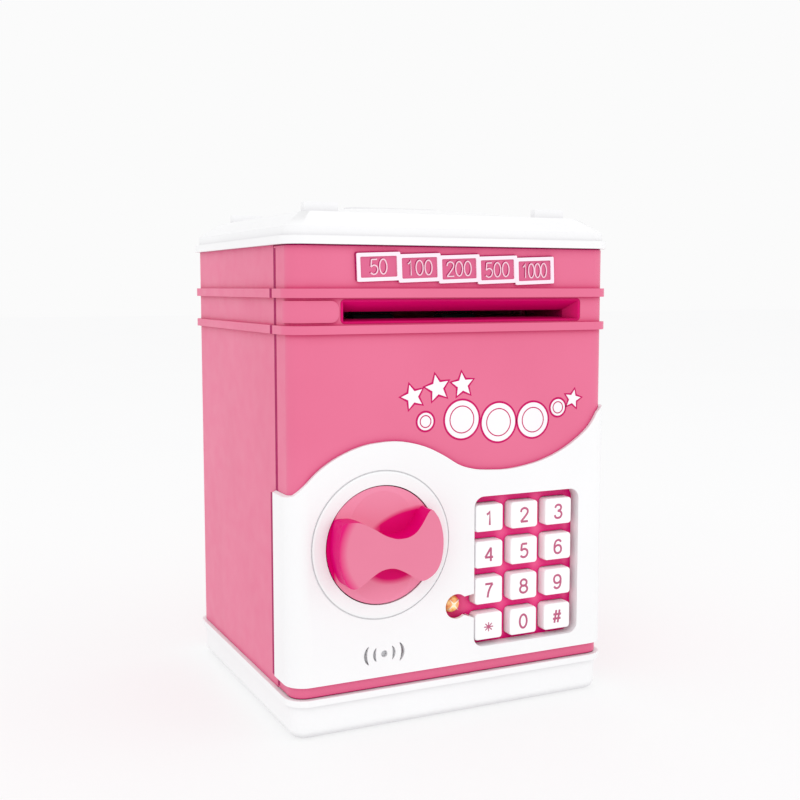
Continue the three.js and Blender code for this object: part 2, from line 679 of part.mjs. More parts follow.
function put(name, material, solid) {
  const source = solid.getMesh();
  const geometry = new THREE.BufferGeometry();
  geometry.setAttribute('position', new THREE.Float32BufferAttribute(source.vertProperties, 3));
  geometry.setIndex(Array.from(source.triVerts));
  geometry.computeVertexNormals();
  const mesh = new THREE.Mesh(geometry, new THREE.MeshStandardMaterial(MATERIALS[material]));
  mesh.name = name;
  bank.add(mesh);
}

put('rear_shell', 'pink', makeRearShell());
put('base', 'white', makeBase());
put('lid', 'white', makeLid());
put('strike_plate', 'steel', makeStrikePlate());
put('hinge_pin_bottom', 'steel', rod('z', HINGE, PIN_R, 5.1, 26.5));
put('hinge_pin_top', 'steel', rod('z', HINGE, PIN_R, 164, 180.9));
POSTS.forEach((post, i) => put(`base_screw_${i + 1}`, 'steel', makeBaseScrew(post)));

put('door_shell', 'pink', makeDoorShell());
put('door_panel', 'white', makeDoorPanel());
put('denomination_strip', 'white', makeDenominationStrip());
put('note_bezel', 'magenta', makeNoteBezel());
put('keypad_plate', 'magenta', makeKeypadPlate());
KEY_NAMES.forEach((row, r) => {
  row.forEach((name, c) => put(name, 'white', makeKey(KEY_X[c], KEY_Z[r])));
});
put('key_membrane', 'grey', block([5.5, 53.5], [-50.5, -49.5], [24.5, 84]));
put('main_board', 'board', makeMainBoard());
put('indicator_lens', 'amber', turned('y', [LIGHT.x, LIGHT.z], [[0, -57.6], [1.6, -57.2], [2.8, -56.2],
  [3.3, -54.8], [3.3, -52.8], [4.4, -52.8], [4.4, -52], [0, -52]]));
put('indicator_led', 'amber', turned('y', [LIGHT.x, LIGHT.z], [[0, -51.8], [0.9, -51.5], [1.5, -50.8],
  [1.5, -49.35], [0, -49.35]], 16));
put('speaker', 'dark', makeSpeaker());
put('inner_cover', 'pink', makeInnerCover());
COVER_SCREWS.forEach((at, i) => put(`cover_screw_${i + 1}`, 'steel', makeSmallScrew(at, 12)));
put('battery_tray', 'dark', makeBatteryTray());
CELL_Z.forEach((z, i) => put(`battery_${i + 1}`, 'cell', makeCell(z, i % 2 === 0)));
put('battery_cover', 'pink', makeBatteryCover());
put('battery_cover_screw', 'steel', makeSmallScrew(BATTERY_SCREW, 9));

put('knob', 'pink', makeKnob());
put('knob_crank', 'steel', makeCrank());
put('knob_screw', 'steel', makeKnobScrew());
put('lock_bolt', 'steel', makeLockBolt());
put('bolt_guide', 'grey', makeBoltGuide());
put('solenoid_frame', 'steel', makeSolenoidFrame());
put('solenoid_coil', 'copper', makeSolenoidCoil());
put('solenoid_plunger', 'steel', makePlunger());

put('note_guide', 'grey', makeNoteGuide());
put('drive_shaft', 'steel', rod('x', DRIVE, 1.5, -49.5, 55));
TYRES.forEach((span, i) => put(`drive_tyre_${i + 1}`, 'rubber', makeTyre(span)));
put('drive_gear', 'white', makeDriveGear());
put('pressure_roller', 'dark', makePressureRoller());
put('feed_motor', 'steel', makeFeedMotor());
put('motor_pinion', 'white', makeMotorPinion());

export default bank;
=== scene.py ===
# Looks for the toy safe coin bank: smooth moulded shells, printed keys and soft studio light
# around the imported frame. Shapes are made in millimetres and turned into metres at the end.
import math

import bmesh
import bpy
from mathutils import Matrix, Vector


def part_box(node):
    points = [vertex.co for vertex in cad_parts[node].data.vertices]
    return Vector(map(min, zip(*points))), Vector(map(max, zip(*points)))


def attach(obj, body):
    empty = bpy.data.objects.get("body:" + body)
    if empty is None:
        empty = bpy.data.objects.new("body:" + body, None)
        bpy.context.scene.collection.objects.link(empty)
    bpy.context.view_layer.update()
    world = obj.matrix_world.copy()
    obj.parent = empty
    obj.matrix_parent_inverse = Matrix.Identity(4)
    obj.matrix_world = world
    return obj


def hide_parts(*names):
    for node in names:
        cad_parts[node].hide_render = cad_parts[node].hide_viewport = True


MM = 0.001
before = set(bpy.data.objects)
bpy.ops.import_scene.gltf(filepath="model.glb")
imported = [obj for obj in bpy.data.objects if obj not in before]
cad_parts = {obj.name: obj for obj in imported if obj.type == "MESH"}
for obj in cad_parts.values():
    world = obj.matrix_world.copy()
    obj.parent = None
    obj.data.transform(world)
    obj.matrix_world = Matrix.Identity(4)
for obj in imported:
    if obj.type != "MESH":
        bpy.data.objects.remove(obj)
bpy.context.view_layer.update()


def box_mm(node):
    low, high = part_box(node)
    return [c / MM for c in low], [c / MM for c in high]


# ---------- sizes read from the frame ----------
base_high = box_mm("base")[1]
lid_low, lid_high = box_mm("lid")
door_low, door_high = box_mm("door_shell")
panel_low = box_mm("door_panel")[0]
rear_low, rear_high = box_mm("rear_shell")
plate_low, plate_high = box_mm("keypad_plate")
knob_low, knob_high = box_mm("knob")
lens_low, lens_high = box_mm("indicator_lens")
speaker_low, speaker_high = box_mm("speaker")
strip_low, strip_high = box_mm("denomination_strip")
cover_low, cover_high = box_mm("inner_cover")
battery_cover_high = box_mm("battery_cover")[1]

LID_PROUD = 2.0
BAND_PROUD = 1.55
BASE_PROUD = 1.6
SLOT_PAD_PROUD = 0.7
TAB_TOP = 190.5
SEAM_SKIN = 0.04
PANEL_PROUD = 1.5
WALL = 2.2
CORNER_R = 6.0
HALF_W = lid_high[0] - LID_PROUD
HALF_D = lid_high[1] - LID_PROUD
BASE_TOP = base_high[2]
LID_Z = lid_low[2] + 10.2
DOOR_BACK = -42.25
REAR_FRONT = -41.75
HINGE_SIDE_FRONT = -41.2
HINGE_SIDE_TRIM = -44.75
FRONT = -HALF_D
PANEL_FRONT = FRONT - PANEL_PROUD
BANDS = [(144.2, 147.2), (156.8, 160.0)]
HINGE = (60.5, -52.0)
POSTS = [(-58.6, -6.0), (58.6, -6.0), (-58.6, 52.0), (58.6, 52.0)]
POST_R = 3.6
KNOB_X = (knob_low[0] + knob_high[0]) / 2
KNOB_Z = (knob_low[2] + knob_high[2]) / 2
KNOB_R = (knob_high[2] - knob_low[2]) / 2
KNOB_HOLE = KNOB_R + 0.4
RING_R = 26.7
CUP_BACK = -53.0
GRIP_Y = knob_low[1]
PAD_X = (6.4, 52.6)
PAD_Z = (25.4, 82.8)
PAD_R = 4.0
KEY_R = 1.8
LIGHT_X = (lens_low[0] + lens_high[0]) / 2
LIGHT_Z = (lens_low[2] + lens_high[2]) / 2
LIGHT_R = 4.7
SPEAKER_X = (speaker_low[0] + speaker_high[0]) / 2
SPEAKER_Z = (speaker_low[2] + speaker_high[2]) / 2
FAR = 300.0
AHEAD = -70.0
INSIDE = -50.0
COVER_SCREWS = [(-53, 25), (-2, 25), (-53, 166), (53, 166)]
KNUCKLE_R = 4.0
CUP_R = 22.2
CUP_WALL_R = 24.0
SLOT_PAD = ((-80, -47.2), (148.2, 155.8))
SLOT_OPENING = ((-46.5, 53), (147.6, 156.4), 1.7)
BEZEL_OUTLINE = ((-46.42, 52.92), (147.68, 156.32), 1.6)
NOTE_MOUTH = ((-45.5, 52), (148.5, 155.5))
NOTE_THROAT = ((-44.9, 48), (149.1, 151.9))
COIN_SLOT = ((-17, 17), (-2.5, 2.5))
COIN_RIM = ((-20, 20), (-5, 5))
BASE_FILLET = 4.2
BASE_FLOOR = 2.5
BASE_LEDGE = 12.9
PIN_BORE_R = 2.02
SCREW_CLEAR_R = 1.7
SCREW_HEAD_R = 3.3
BRIM_TOP = 178.1
SLOPE_FROM = 181.3
SLOPE_TOP = 186.9
CROWN_OUTSIDE = [(43, 186.4), (42.3, 187.6), (40.5, 188.7), (31, 190.6), (16, 191.4), (0, 191.6)]
CROWN_INSIDE = [(39, 184.4), (38.5, 187), (30, 188.7), (15, 189.4), (0, 189.6)]
TAB_X = (41.2, 54.2)
TAB_Y = (40.8, 44)

KEY_MARKS = {
    "key_1": "1", "key_2": "2", "key_3": "3", "key_4": "4", "key_5": "5", "key_6": "6",
    "key_7": "7", "key_8": "8", "key_9": "9", "key_star": "*", "key_0": "0", "key_hash": "#",
}


# ---------- outlines ----------
def circle(u, v, r, sides=64):
    turns = [2 * math.pi * i / sides for i in range(sides)]
    return [(u + r * math.cos(a), v + r * math.sin(a)) for a in turns]


def round_rect(us, vs, r, steps=10):
    centres = [(us[1] - r, vs[1] - r), (us[0] + r, vs[1] - r), (us[0] + r, vs[0] + r), (us[1] - r, vs[0] + r)]
    points = []
    for quarter, (cu, cv) in enumerate(centres):
        for i in range(steps + 1):
            a = (quarter + i / steps) * math.pi / 2
            points.append((cu + r * math.cos(a), cv + r * math.sin(a)))
    return points


def plan(grow):
    """Outline of the body seen from above, grown outwards."""
    x = HALF_W + grow
    y = HALF_D + grow
    return round_rect((-x, x), (-y, y), max(CORNER_R + grow, 0.6), 12)


def curve_point(a, b, c, d, t):
    bend = (2 * a - 5 * b + 4 * c - d) * t * t
    twist = (3 * b - a - 3 * c + d) * t ** 3
    return 0.5 * (2 * b + (c - a) * t + bend + twist)


def smooth_curve(points, steps=6, closed=False):
    """Catmull-Rom curve through the points."""
    count = len(points)
    spans = count if closed else count - 1
    out = []
    for i in range(spans):
        def at(k):
            return points[k % count] if closed else points[min(max(k, 0), count - 1)]
        p0, p1, p2, p3 = at(i - 1), at(i), at(i + 1), at(i + 2)
        for s in range(steps):
            out.append(tuple(curve_point(*values, s / steps) for values in zip(p0, p1, p2, p3)))
    if not closed:
        out.append(points[-1])
    return out


# ---------- solids ----------
def to_object(vertices, faces, name="solid"):
    mesh = bpy.data.meshes.new(name)
    mesh.from_pydata([Vector(v) for v in vertices], [], faces)
    work = bmesh.new()
    work.from_mesh(mesh)
    bmesh.ops.recalc_face_normals(work, faces=work.faces)
    work.to_mesh(mesh)
    work.free()
    obj = bpy.data.objects.new(name, mesh)
    bpy.context.scene.collection.objects.link(obj)
    return obj


def place(axis, u, v, w):
    if axis == "x":
        return (w, u, v)
    if axis == "y":
        return (u, w, v)
    return (u, v, w)


def loft(rings):
    count = len(rings[0])
    vertices = [p for ring in rings for p in ring]
    faces = []
    for k in range(len(rings) - 1):
        for i in range(count):
            j = (i + 1) % count
            faces.append((k * count + i, k * count + j, (k + 1) * count + j, (k + 1) * count + i))
    faces.append(tuple(range(count))[::-1])
    faces.append(tuple(range((len(rings) - 1) * count, len(rings) * count)))
    return to_object(vertices, faces)


def prism(points, axis, start, end):
    return loft([[place(axis, u, v, w) for u, v in points] for w in (start, end)])


def block(xs, ys, zs):
    return prism([(xs[0], ys[0]), (xs[1], ys[0]), (xs[1], ys[1]), (xs[0], ys[1])], "z", zs[0], zs[1])


def rod(axis, u, v, r, start, end, sides=64):
    return prism(circle(u, v, r, sides), axis, start, end)


def at_z(points, z):
    return [(x, y, z) for x, y in points]


def at_y(points, y):
    return [(x, y, z) for x, z in points]


def turned(axis, u, v, profile, sides=64):
    """Body of revolution; the profile is (radius, place along the axis), from axis to axis."""
    vertices = []
    faces = []
    rows = []
    for r, w in profile:
        if r < 1e-6:
            rows.append([len(vertices)] * sides)
            vertices.append(place(axis, u, v, w))
        else:
            first = len(vertices)
            vertices += [place(axis, p, q, w) for p, q in circle(u, v, r, sides)]
            rows.append(list(range(first, first + sides)))
    for low, high in zip(rows, rows[1:]):
        for i in range(sides):
            j = (i + 1) % sides
            corners = []
            for index in (low[i], low[j], high[j], high[i]):
                if index not in corners:
                    corners.append(index)
            if len(corners) > 2:
                faces.append(tuple(corners))
    return to_object(vertices, faces)


def combine(target, operation, tools):
    for tool in tools:
        modifier = target.modifiers.new("combine", "BOOLEAN")
        modifier.operation = operation
        modifier.solver = "EXACT"
        modifier.object = tool
        bake(target)
        bpy.data.objects.remove(tool)
    return target


def add(target, *tools):
    return combine(target, "UNION", tools)


def cut(target, *tools):
    return combine(target, "DIFFERENCE", tools)


def keep(target, *tools):
    return combine(target, "INTERSECT", tools)


def bake(obj):
    """Makes the modifiers' result the object's own mesh."""
    view = bpy.context.evaluated_depsgraph_get()
    mesh = bpy.data.meshes.new_from_object(obj.evaluated_get(view))
    obj.modifiers.clear()
    old = obj.data
    obj.data = mesh
    bpy.data.meshes.remove(old)


def ring_around(outer, inner, z0, z1):
    return cut(prism(plan(outer), "z", z0, z1), prism(plan(inner), "z", z0 - 1, z1 + 1))


def in_front(y):
    return block((-FAR, FAR), (-FAR, y), (-FAR, FAR))


def behind(y):
    return block((-FAR, FAR), (y, FAR), (-FAR, FAR))


def hinge_side(y0, y1):
    return block((55, FAR), (y0, y1), (-FAR, FAR))


ROUNDED_FROM = math.radians(32)
SMOOTH_BELOW = math.radians(30)


def finish_piece(obj, name, body, node, material, edge=0.35, segments=2):
    """Rounds the edges, shades smooth, scales to metres and puts the piece on its body."""
    obj.name = name
    obj.data.name = name
    work = bmesh.new()
    work.from_mesh(obj.data)
    bmesh.ops.remove_doubles(work, verts=work.verts, dist=0.004)
    bmesh.ops.dissolve_limit(work, angle_limit=math.radians(0.3), verts=work.verts, edges=work.edges)
    work.to_mesh(obj.data)
    work.free()
    if edge:
        rounding = obj.modifiers.new("rounding", "BEVEL")
        rounding.width = edge
        rounding.segments = segments
        rounding.limit_method = "ANGLE"
        rounding.angle_limit = ROUNDED_FROM
        rounding.use_clamp_overlap = True
        rounding.miter_outer = "MITER_ARC"
        bake(obj)
    obj.data.transform(Matrix.Scale(MM, 4))
    smooth_shade(obj)
    obj.data.materials.clear()
    obj.data.materials.append(material)
    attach(obj, body)
    if node:
        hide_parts(node)
    return obj


def smooth_shade(obj):
    mesh = obj.data
    mesh.polygons.foreach_set("use_smooth", [True] * len(mesh.polygons))
    work = bmesh.new()
    work.from_mesh(mesh)
    for edge in work.edges:
        edge.smooth = len(edge.link_faces) == 2 and edge.calc_face_angle(0) < SMOOTH_BELOW
    work.to_mesh(mesh)
    work.free()
    weighted = obj.modifiers.new("weighted", "WEIGHTED_NORMAL")
    weighted.keep_sharp = True
    weighted.weight = 80


# ---------- materials ----------
def linear(r, g, b):
    def one(c):
        c /= 255
        return c / 12.92 if c <= 0.04045 else ((c + 0.055) / 1.055) ** 2.4
    return (one(r), one(g), one(b), 1.0)


def new_material(name):
    material = bpy.data.materials.new(name)
    material.use_nodes = True
    nodes = material.node_tree.nodes
    nodes.clear()
    shader = nodes.new("ShaderNodeBsdfPrincipled")
    output = nodes.new("ShaderNodeOutputMaterial")
    coords = nodes.new("ShaderNodeTexCoord")
    material.node_tree.links.new(shader.outputs["BSDF"], output.inputs["Surface"])
    return material, nodes, material.node_tree.links, shader, coords


def noise(nodes, links, coords, scale, detail=3.0):
    texture = nodes.new("ShaderNodeTexNoise")
    texture.inputs["Scale"].default_value = scale
    texture.inputs["Detail"].default_value = detail
    links.new(coords.outputs["Object"], texture.inputs["Vector"])
    return texture.outputs["Fac"]


def ramp(nodes, links, value, low, high, to_low, to_high):
    spread = nodes.new("ShaderNodeMapRange")
    spread.inputs["From Min"].default_value = low
    spread.inputs["From Max"].default_value = high
    spread.inputs["To Min"].default_value = to_low
    spread.inputs["To Max"].default_value = to_high
    links.new(value, spread.inputs["Value"])
    return spread.outputs["Result"]


def blend_colour(nodes, links, factor, first, second):
    mix = nodes.new("ShaderNodeMix")
    mix.data_type = "RGBA"
    links.new(factor, mix.inputs["Factor"])
    for socket, colour in ((mix.inputs[6], first), (mix.inputs[7], second)):
        if isinstance(colour, tuple):
            socket.default_value = colour
        else:
            links.new(colour, socket)
    return mix.outputs[2]


def add_bump(nodes, links, shader, height, strength, distance):
    bump = nodes.new("ShaderNodeBump")
    bump.inputs["Strength"].default_value = strength
    bump.inputs["Distance"].default_value = distance
    links.new(height, bump.inputs["Height"])
    links.new(bump.outputs["Normal"], shader.inputs["Normal"])


def plastic(
    name, colour, tint, painted_shade=None, reach=5.0, painted_shade_from=0.3, painted_shade_to=0.92,
    rough=(0.3, 0.42), peel=0.04, gloss_level=0.28,
):
    """Moulded plastic: slow colour drift, fine orange-peel bump, uneven gloss, and painted shade: a deeper
    colour where ambient occlusion finds creases, recesses and gaps.
    """
    material, nodes, links, shader, coords = new_material(name)
    drift = ramp(nodes, links, noise(nodes, links, coords, 22.0, 2.0), 0.35, 0.65, 0.0, 1.0)
    base = blend_colour(nodes, links, drift, colour, tint)
    # Painted shade: blends towards the shade colour where ambient occlusion within the reach finds creases,
    # recesses and gaps between parts.
    if painted_shade:
        occlusion = nodes.new("ShaderNodeAmbientOcclusion")
        occlusion.samples = 8
        occlusion.inputs["Distance"].default_value = reach * MM
        depth = ramp(nodes, links, occlusion.outputs["AO"], painted_shade_from, painted_shade_to, 1.0, 0.0)
        base = blend_colour(nodes, links, depth, base, painted_shade)
    links.new(base, shader.inputs["Base Color"])
    gloss = noise(nodes, links, coords, 140.0, 4.0)
    links.new(ramp(nodes, links, gloss, 0.3, 0.7, rough[0], rough[1]), shader.inputs["Roughness"])
    add_bump(nodes, links, shader, noise(nodes, links, coords, 1100.0, 2.0), peel, 0.0002)
    shader.inputs["Specular IOR Level"].default_value = gloss_level
    shader.inputs["IOR"].default_value = 1.47
    return material


def knob_plastic(name):
    """Pink with painted light and shade: magenta painted shade in the dishes, down the grip's walls and over
    its left end, a painted highlight along the grip's upper edges, and a lighter painted pink on the disc.
    """
    material = plastic(name, linear(232, 133, 161), linear(229, 128, 157))
    nodes = material.node_tree.nodes
    links = material.node_tree.links
    shader = next(n for n in nodes if n.type == "BSDF_PRINCIPLED")
    surface = shader.inputs["Base Color"].links[0].from_socket
    coords = nodes.new("ShaderNodeTexCoord")
    split = nodes.new("ShaderNodeSeparateXYZ")
    links.new(coords.outputs["Object"], split.inputs["Vector"])
    facing = nodes.new("ShaderNodeSeparateXYZ")
    links.new(coords.outputs["Normal"], facing.inputs["Vector"])

    def calc(operation, *values, clamp=False):
        step = nodes.new("ShaderNodeMath")
        step.operation = operation
        step.use_clamp = clamp
        for socket, value in zip(step.inputs, values):
            if isinstance(value, (int, float)):
                socket.default_value = value
            else:
                links.new(value, socket)
        return step.outputs["Value"]

    def fade(value, low, high, to_low=0.0, to_high=1.0):
        return ramp(nodes, links, value, low, high, to_low, to_high)

    def local(axis, origin):
        return calc("MULTIPLY", calc("SUBTRACT", split.outputs[axis], origin * MM), 1000.0)

    def squared(value, middle, reach):
        part = calc("DIVIDE", calc("SUBTRACT", value, middle), reach)
        return calc("MULTIPLY", part, part)

    u = local("X", KNOB_X)
    v = local("Z", KNOB_Z)
    depth = local("Y", PANEL_FRONT)
    slope = calc("ABSOLUTE", facing.outputs["Y"])
    on_disc = fade(depth, -1.6, -1.0)
    on_face = fade(depth, -1.6, -1.0, 1.0, 0.0)

    # Painted shade in the dishes: magenta above the grip's upper edge, in an oval under its lower edge and
    # along the left rim.
    ridge = calc("SUBTRACT", 13.6, calc("MULTIPLY", squared(u, 16.7, 1.0), 0.018))
    upper_dish_shade = fade(calc("SUBTRACT", ridge, v), -0.2, 1.6)
    upper_dish_shade = calc("MULTIPLY", upper_dish_shade, fade(v, 0.0, 0.5))
    upper_dish_shade = calc("MULTIPLY", upper_dish_shade, fade(u, -5.0, 0.0))
    oval = calc("ADD", squared(u, 4.4, 12.2), squared(v, -7.5, 8.0))
    lower_dish_shade = fade(oval, 0.5, 0.95, 1.0, 0.0)
    left = fade(u, -18.6, -17.2, 1.0, 0.0)
    dish_shade = calc("MULTIPLY", calc("MAXIMUM", calc("MAXIMUM", upper_dish_shade, lower_dish_shade), left), on_disc)

    # Painted shade on the grip's walls: magenta where they face sideways.
    wall = calc("MULTIPLY", fade(slope, 0.62, 0.97, 1.0, 0.0), fade(depth, -1.0, -0.4, 1.0, 0.0))
    from_axis = calc("SQRT", calc("ADD", squared(u, 0, 1), squared(v, 0, 1)))
    # Painted shade over the grip's left end, fading in towards its face.
    left_end_shade = calc("MULTIPLY", fade(from_axis, 17.0, 20.4, 0.0, 0.95), on_face)
    left_end_shade = calc("MULTIPLY", left_end_shade, fade(u, -14.0, -9.0, 1.0, 0.0))
    strength = calc("MAXIMUM", calc("MAXIMUM", dish_shade, wall, clamp=True), left_end_shade, clamp=True)

    # Painted highlight: light pink along the grip's upper edges, on the rounding of its face.
    painted_highlight = calc("MULTIPLY", fade(slope, 0.84, 0.92), fade(slope, 0.965, 0.995, 1.0, 0.0))
    painted_highlight = calc("MULTIPLY", painted_highlight, fade(facing.outputs["Z"], 0.05, 0.2, 0.0, 0.8))
    painted_highlight = calc("MULTIPLY", painted_highlight, on_face)

    # Painted light: the disc is made a lighter pink to offset the shade the grip casts on it.
    surface = blend_colour(nodes, links, on_disc, surface, linear(241, 147, 176))
    # Magenta painted shade wherever the masks above say.
    surface = blend_colour(nodes, links, strength, surface, linear(224, 0, 116))
    # Painted highlight colour.
    surface = blend_colour(nodes, links, painted_highlight, surface, linear(255, 196, 214))
    links.new(surface, shader.inputs["Base Color"])
    shader.inputs["Specular IOR Level"].default_value = 0.08
    return material


def metal(name, colour, tint):
    """Plated metal with fine drawn streaks."""
    material, nodes, links, shader, coords = new_material(name)
    stretch = nodes.new("ShaderNodeMapping")
    stretch.inputs["Scale"].default_value = (60.0, 900.0, 900.0)
    links.new(coords.outputs["Object"], stretch.inputs["Vector"])
    streaks = nodes.new("ShaderNodeTexNoise")
    streaks.inputs["Scale"].default_value = 1.0
    streaks.inputs["Detail"].default_value = 5.0
    links.new(stretch.outputs["Vector"], streaks.inputs["Vector"])
    links.new(blend_colour(nodes, links, streaks.outputs["Fac"], colour, tint), shader.inputs["Base Color"])
    links.new(ramp(nodes, links, streaks.outputs["Fac"], 0.3, 0.7, 0.24, 0.42), shader.inputs["Roughness"])
    add_bump(nodes, links, shader, streaks.outputs["Fac"], 0.08, 0.0001)
    shader.inputs["Metallic"].default_value = 1.0
    return material


def winding(name, colour, tint):
    """Enamelled wire in close turns round a vertical spool; the copper is painted darker in the grooves
    between turns as painted shade.
    """
    material, nodes, links, shader, coords = new_material(name)
    turns = nodes.new("ShaderNodeTexWave")
    turns.bands_direction = "Z"
    turns.inputs["Scale"].default_value = 600.0
    turns.inputs["Distortion"].default_value = 0.4
    links.new(coords.outputs["Object"], turns.inputs["Vector"])
    # Painted shade: dark copper in the grooves, light copper on the crests of the turns.
    links.new(blend_colour(nodes, links, turns.outputs["Fac"], tint, colour), shader.inputs["Base Color"])
    links.new(ramp(nodes, links, turns.outputs["Fac"], 0.0, 1.0, 0.5, 0.25), shader.inputs["Roughness"])
    add_bump(nodes, links, shader, turns.outputs["Fac"], 0.6, 0.0002)
    shader.inputs["Metallic"].default_value = 0.8
    return material


def board_material(name):
    """Green solder mask with pale copper tracks under it."""
    material, nodes, links, shader, coords = new_material(name)
    tracks = nodes.new("ShaderNodeTexBrick")
    tracks.inputs["Scale"].default_value = 260.0
    tracks.inputs["Mortar Size"].default_value = 0.03
    tracks.inputs["Color1"].default_value = linear(20, 92, 52)
    tracks.inputs["Color2"].default_value = linear(24, 104, 60)
    tracks.inputs["Mortar"].default_value = linear(70, 140, 80)
    turn = nodes.new("ShaderNodeMapping")
    turn.inputs["Rotation"].default_value = (math.pi / 2, 0, 0)
    links.new(coords.outputs["Object"], turn.inputs["Vector"])
    links.new(turn.outputs["Vector"], tracks.inputs["Vector"])
    links.new(tracks.outputs["Color"], shader.inputs["Base Color"])
    gloss = noise(nodes, links, coords, 300.0)
    links.new(ramp(nodes, links, gloss, 0.3, 0.7, 0.25, 0.45), shader.inputs["Roughness"])
    return material


def jewel(name):
    """Warm clear plastic lens with a bright facet pattern; the pattern also drives a constant glow, painted
    light standing for a sparkle.
    """
    material, nodes, links, shader, coords = new_material(name)
    facets = nodes.new("ShaderNodeTexVoronoi")
    facets.inputs["Scale"].default_value = 520.0
    links.new(coords.outputs["Object"], facets.inputs["Vector"])
    painted_glow = blend_colour(nodes, links, facets.outputs["Distance"], linear(255, 232, 150), linear(214, 96, 36))
    links.new(painted_glow, shader.inputs["Base Color"])
    # Painted glow: the facet colour is also emitted, though no lamp lights the lens.
    links.new(painted_glow, shader.inputs["Emission Color"])
    shader.inputs["Emission Strength"].default_value = 0.35
    links.new(ramp(nodes, links, facets.outputs["Distance"], 0.0, 1.0, 0.05, 0.2), shader.inputs["Roughness"])
    shader.inputs["Coat Weight"].default_value = 0.8
    shader.inputs["Coat Roughness"].default_value = 0.05
    return material


def sleeve(name, band_from, band_to):
    """Battery wrapper: dark with a gold band near the plus end and a fine printed grain."""
    material, nodes, links, shader, coords = new_material(name)
    split = nodes.new("ShaderNodeSeparateXYZ")
    links.new(coords.outputs["Object"], split.inputs["Vector"])
    band = ramp(nodes, links, split.outputs["X"], band_from, band_to, 0.0, 1.0)
    wrap = blend_colour(nodes, links, band, linear(34, 40, 56), linear(186, 128, 58))
    links.new(wrap, shader.inputs["Base Color"])
    grain = noise(nodes, links, coords, 800.0)
    links.new(ramp(nodes, links, grain, 0.3, 0.7, 0.28, 0.4), shader.inputs["Roughness"])
    shader.inputs["Metallic"].default_value = 0.35
    return material


# The fourth colour given to plastic below is painted shade, laid where ambient occlusion finds creases,
# recesses and gaps.
PINK_PAINTED_SHADE = linear(206, 16, 104)
PINK = plastic("pink_shell", linear(232, 117, 152), linear(229, 113, 148), PINK_PAINTED_SHADE, 4.0, gloss_level=0.2)
WHITE = plastic("white_shell", linear(247, 247, 248), linear(245, 245, 246), linear(226, 225, 227), 4.0)
KEY_WHITE = plastic("key_white", linear(254, 254, 254), linear(252, 252, 253), linear(236, 232, 236), 1.5)
CARD_WHITE = plastic("card_white", linear(255, 238, 247), linear(252, 232, 243))
MAGENTA = plastic(
    "magenta", linear(222, 8, 112), linear(212, 5, 104), linear(176, 0, 84), 6.0, gloss_level=0.12,
)
# Keypad plate: pink, with magenta painted shade close to the keys, where they would shadow it.
PLATE = plastic(
    "keypad_magenta", linear(250, 104, 158), linear(247, 96, 152), linear(226, 0, 116), 3.0,
    painted_shade_from=0.6, painted_shade_to=0.98, gloss_level=0.1,
)
PINK_FIELD = plastic("pink_field", linear(222, 106, 146), linear(217, 100, 141), gloss_level=0.15)
NUMERAL = plastic("numeral_pink", linear(250, 214, 228), linear(247, 206, 222), gloss_level=0.15)
CLOTH = plastic("speaker_grey", linear(232, 232, 234), linear(224, 224, 227), rough=(0.6, 0.75), peel=0.3)
INK = plastic("key_ink", linear(197, 104, 137), linear(190, 96, 130), rough=(0.5, 0.6), gloss_level=0.15)
PRINT_WHITE = plastic("print_white", linear(250, 248, 250), linear(246, 243, 247), rough=(0.4, 0.5))
PRINT_MAGENTA = plastic("print_magenta", linear(206, 20, 104), linear(198, 14, 98), gloss_level=0.12)
# Painted shade: dark magenta for the seams, the card edges and the numeral shadows.
SEAM_SHADE = plastic("seam_shade_magenta", linear(172, 0, 92), linear(164, 0, 86), gloss_level=0.05)
PINK_SOFT = knob_plastic("pink_knob")
GREY = plastic("grey_plastic", linear(186, 187, 190), linear(178, 179, 183), linear(120, 121, 125), 4.0)
SPARKLE = plastic("sparkle", linear(255, 250, 235), linear(255, 246, 226), rough=(0.1, 0.2), gloss_level=0.5)
BLACK = plastic("black_plastic", linear(44, 44, 47), linear(38, 38, 41), rough=(0.45, 0.6), peel=0.12)
RUBBER = plastic("black_rubber", linear(34, 34, 35), linear(28, 28, 29), rough=(0.7, 0.85), peel=0.3)
SOFT_GREY = plastic("grey_rubber", linear(150, 150, 153), linear(142, 142, 146), rough=(0.6, 0.75), peel=0.2)
GEAR = plastic("acetal", linear(240, 239, 234), linear(233, 232, 226), linear(190, 188, 180), 2.0)
STEEL = metal("zinc_steel", linear(205, 207, 210), linear(178, 181, 186))
COPPER = winding("copper_wire", linear(208, 118, 62), linear(120, 56, 26))
BOARD = board_material("circuit_board")
JEWEL = jewel("amber_jewel")
SLEEVE = sleeve("battery_sleeve", 0.0375, 0.0377)
SLEEVE_TURNED = sleeve("battery_sleeve_turned", 0.0195, 0.0193)


# ---------- cabinet ----------
def corner_post(x, y, z0, z1, r=POST_R):
    side = math.copysign(1, x)
    web = sorted((x, side * (HALF_W - 1)))
    post = add(rod("z", x, y, r, z0, z1, 32), block(web, (y - 3, y + 3), (z0, z1)))
    if y > 0:
        add(post, block((x - 3, x + 3), (y, HALF_D - 1), (z0, z1)))
    return post


def make_rear_shell():
    z0, z1 = rear_low[2], rear_high[2]
    shell = ring_around(0, -WALL, z0, z1)
    add(shell, *[ring_around(BAND_PROUD, -1, a, b) for a, b in BANDS])
    keep(shell, behind(REAR_FRONT))
    cut(shell, hinge_side(-FAR, HINGE_SIDE_FRONT))
    add(shell, *[corner_post(x, y, z0, z1) for x, y in POSTS])
    bores = [rod("z", x, y, 1.55, z0 - 1, 33, 24) for x, y in POSTS]
    bores += [rod("z", x, y, 2, 163, z1 + 1, 24) for x, y in POSTS]
    cut(shell, *bores)
    finish_piece(shell, "rear_shell_moulding", "cabinet", "rear_shell", PINK)


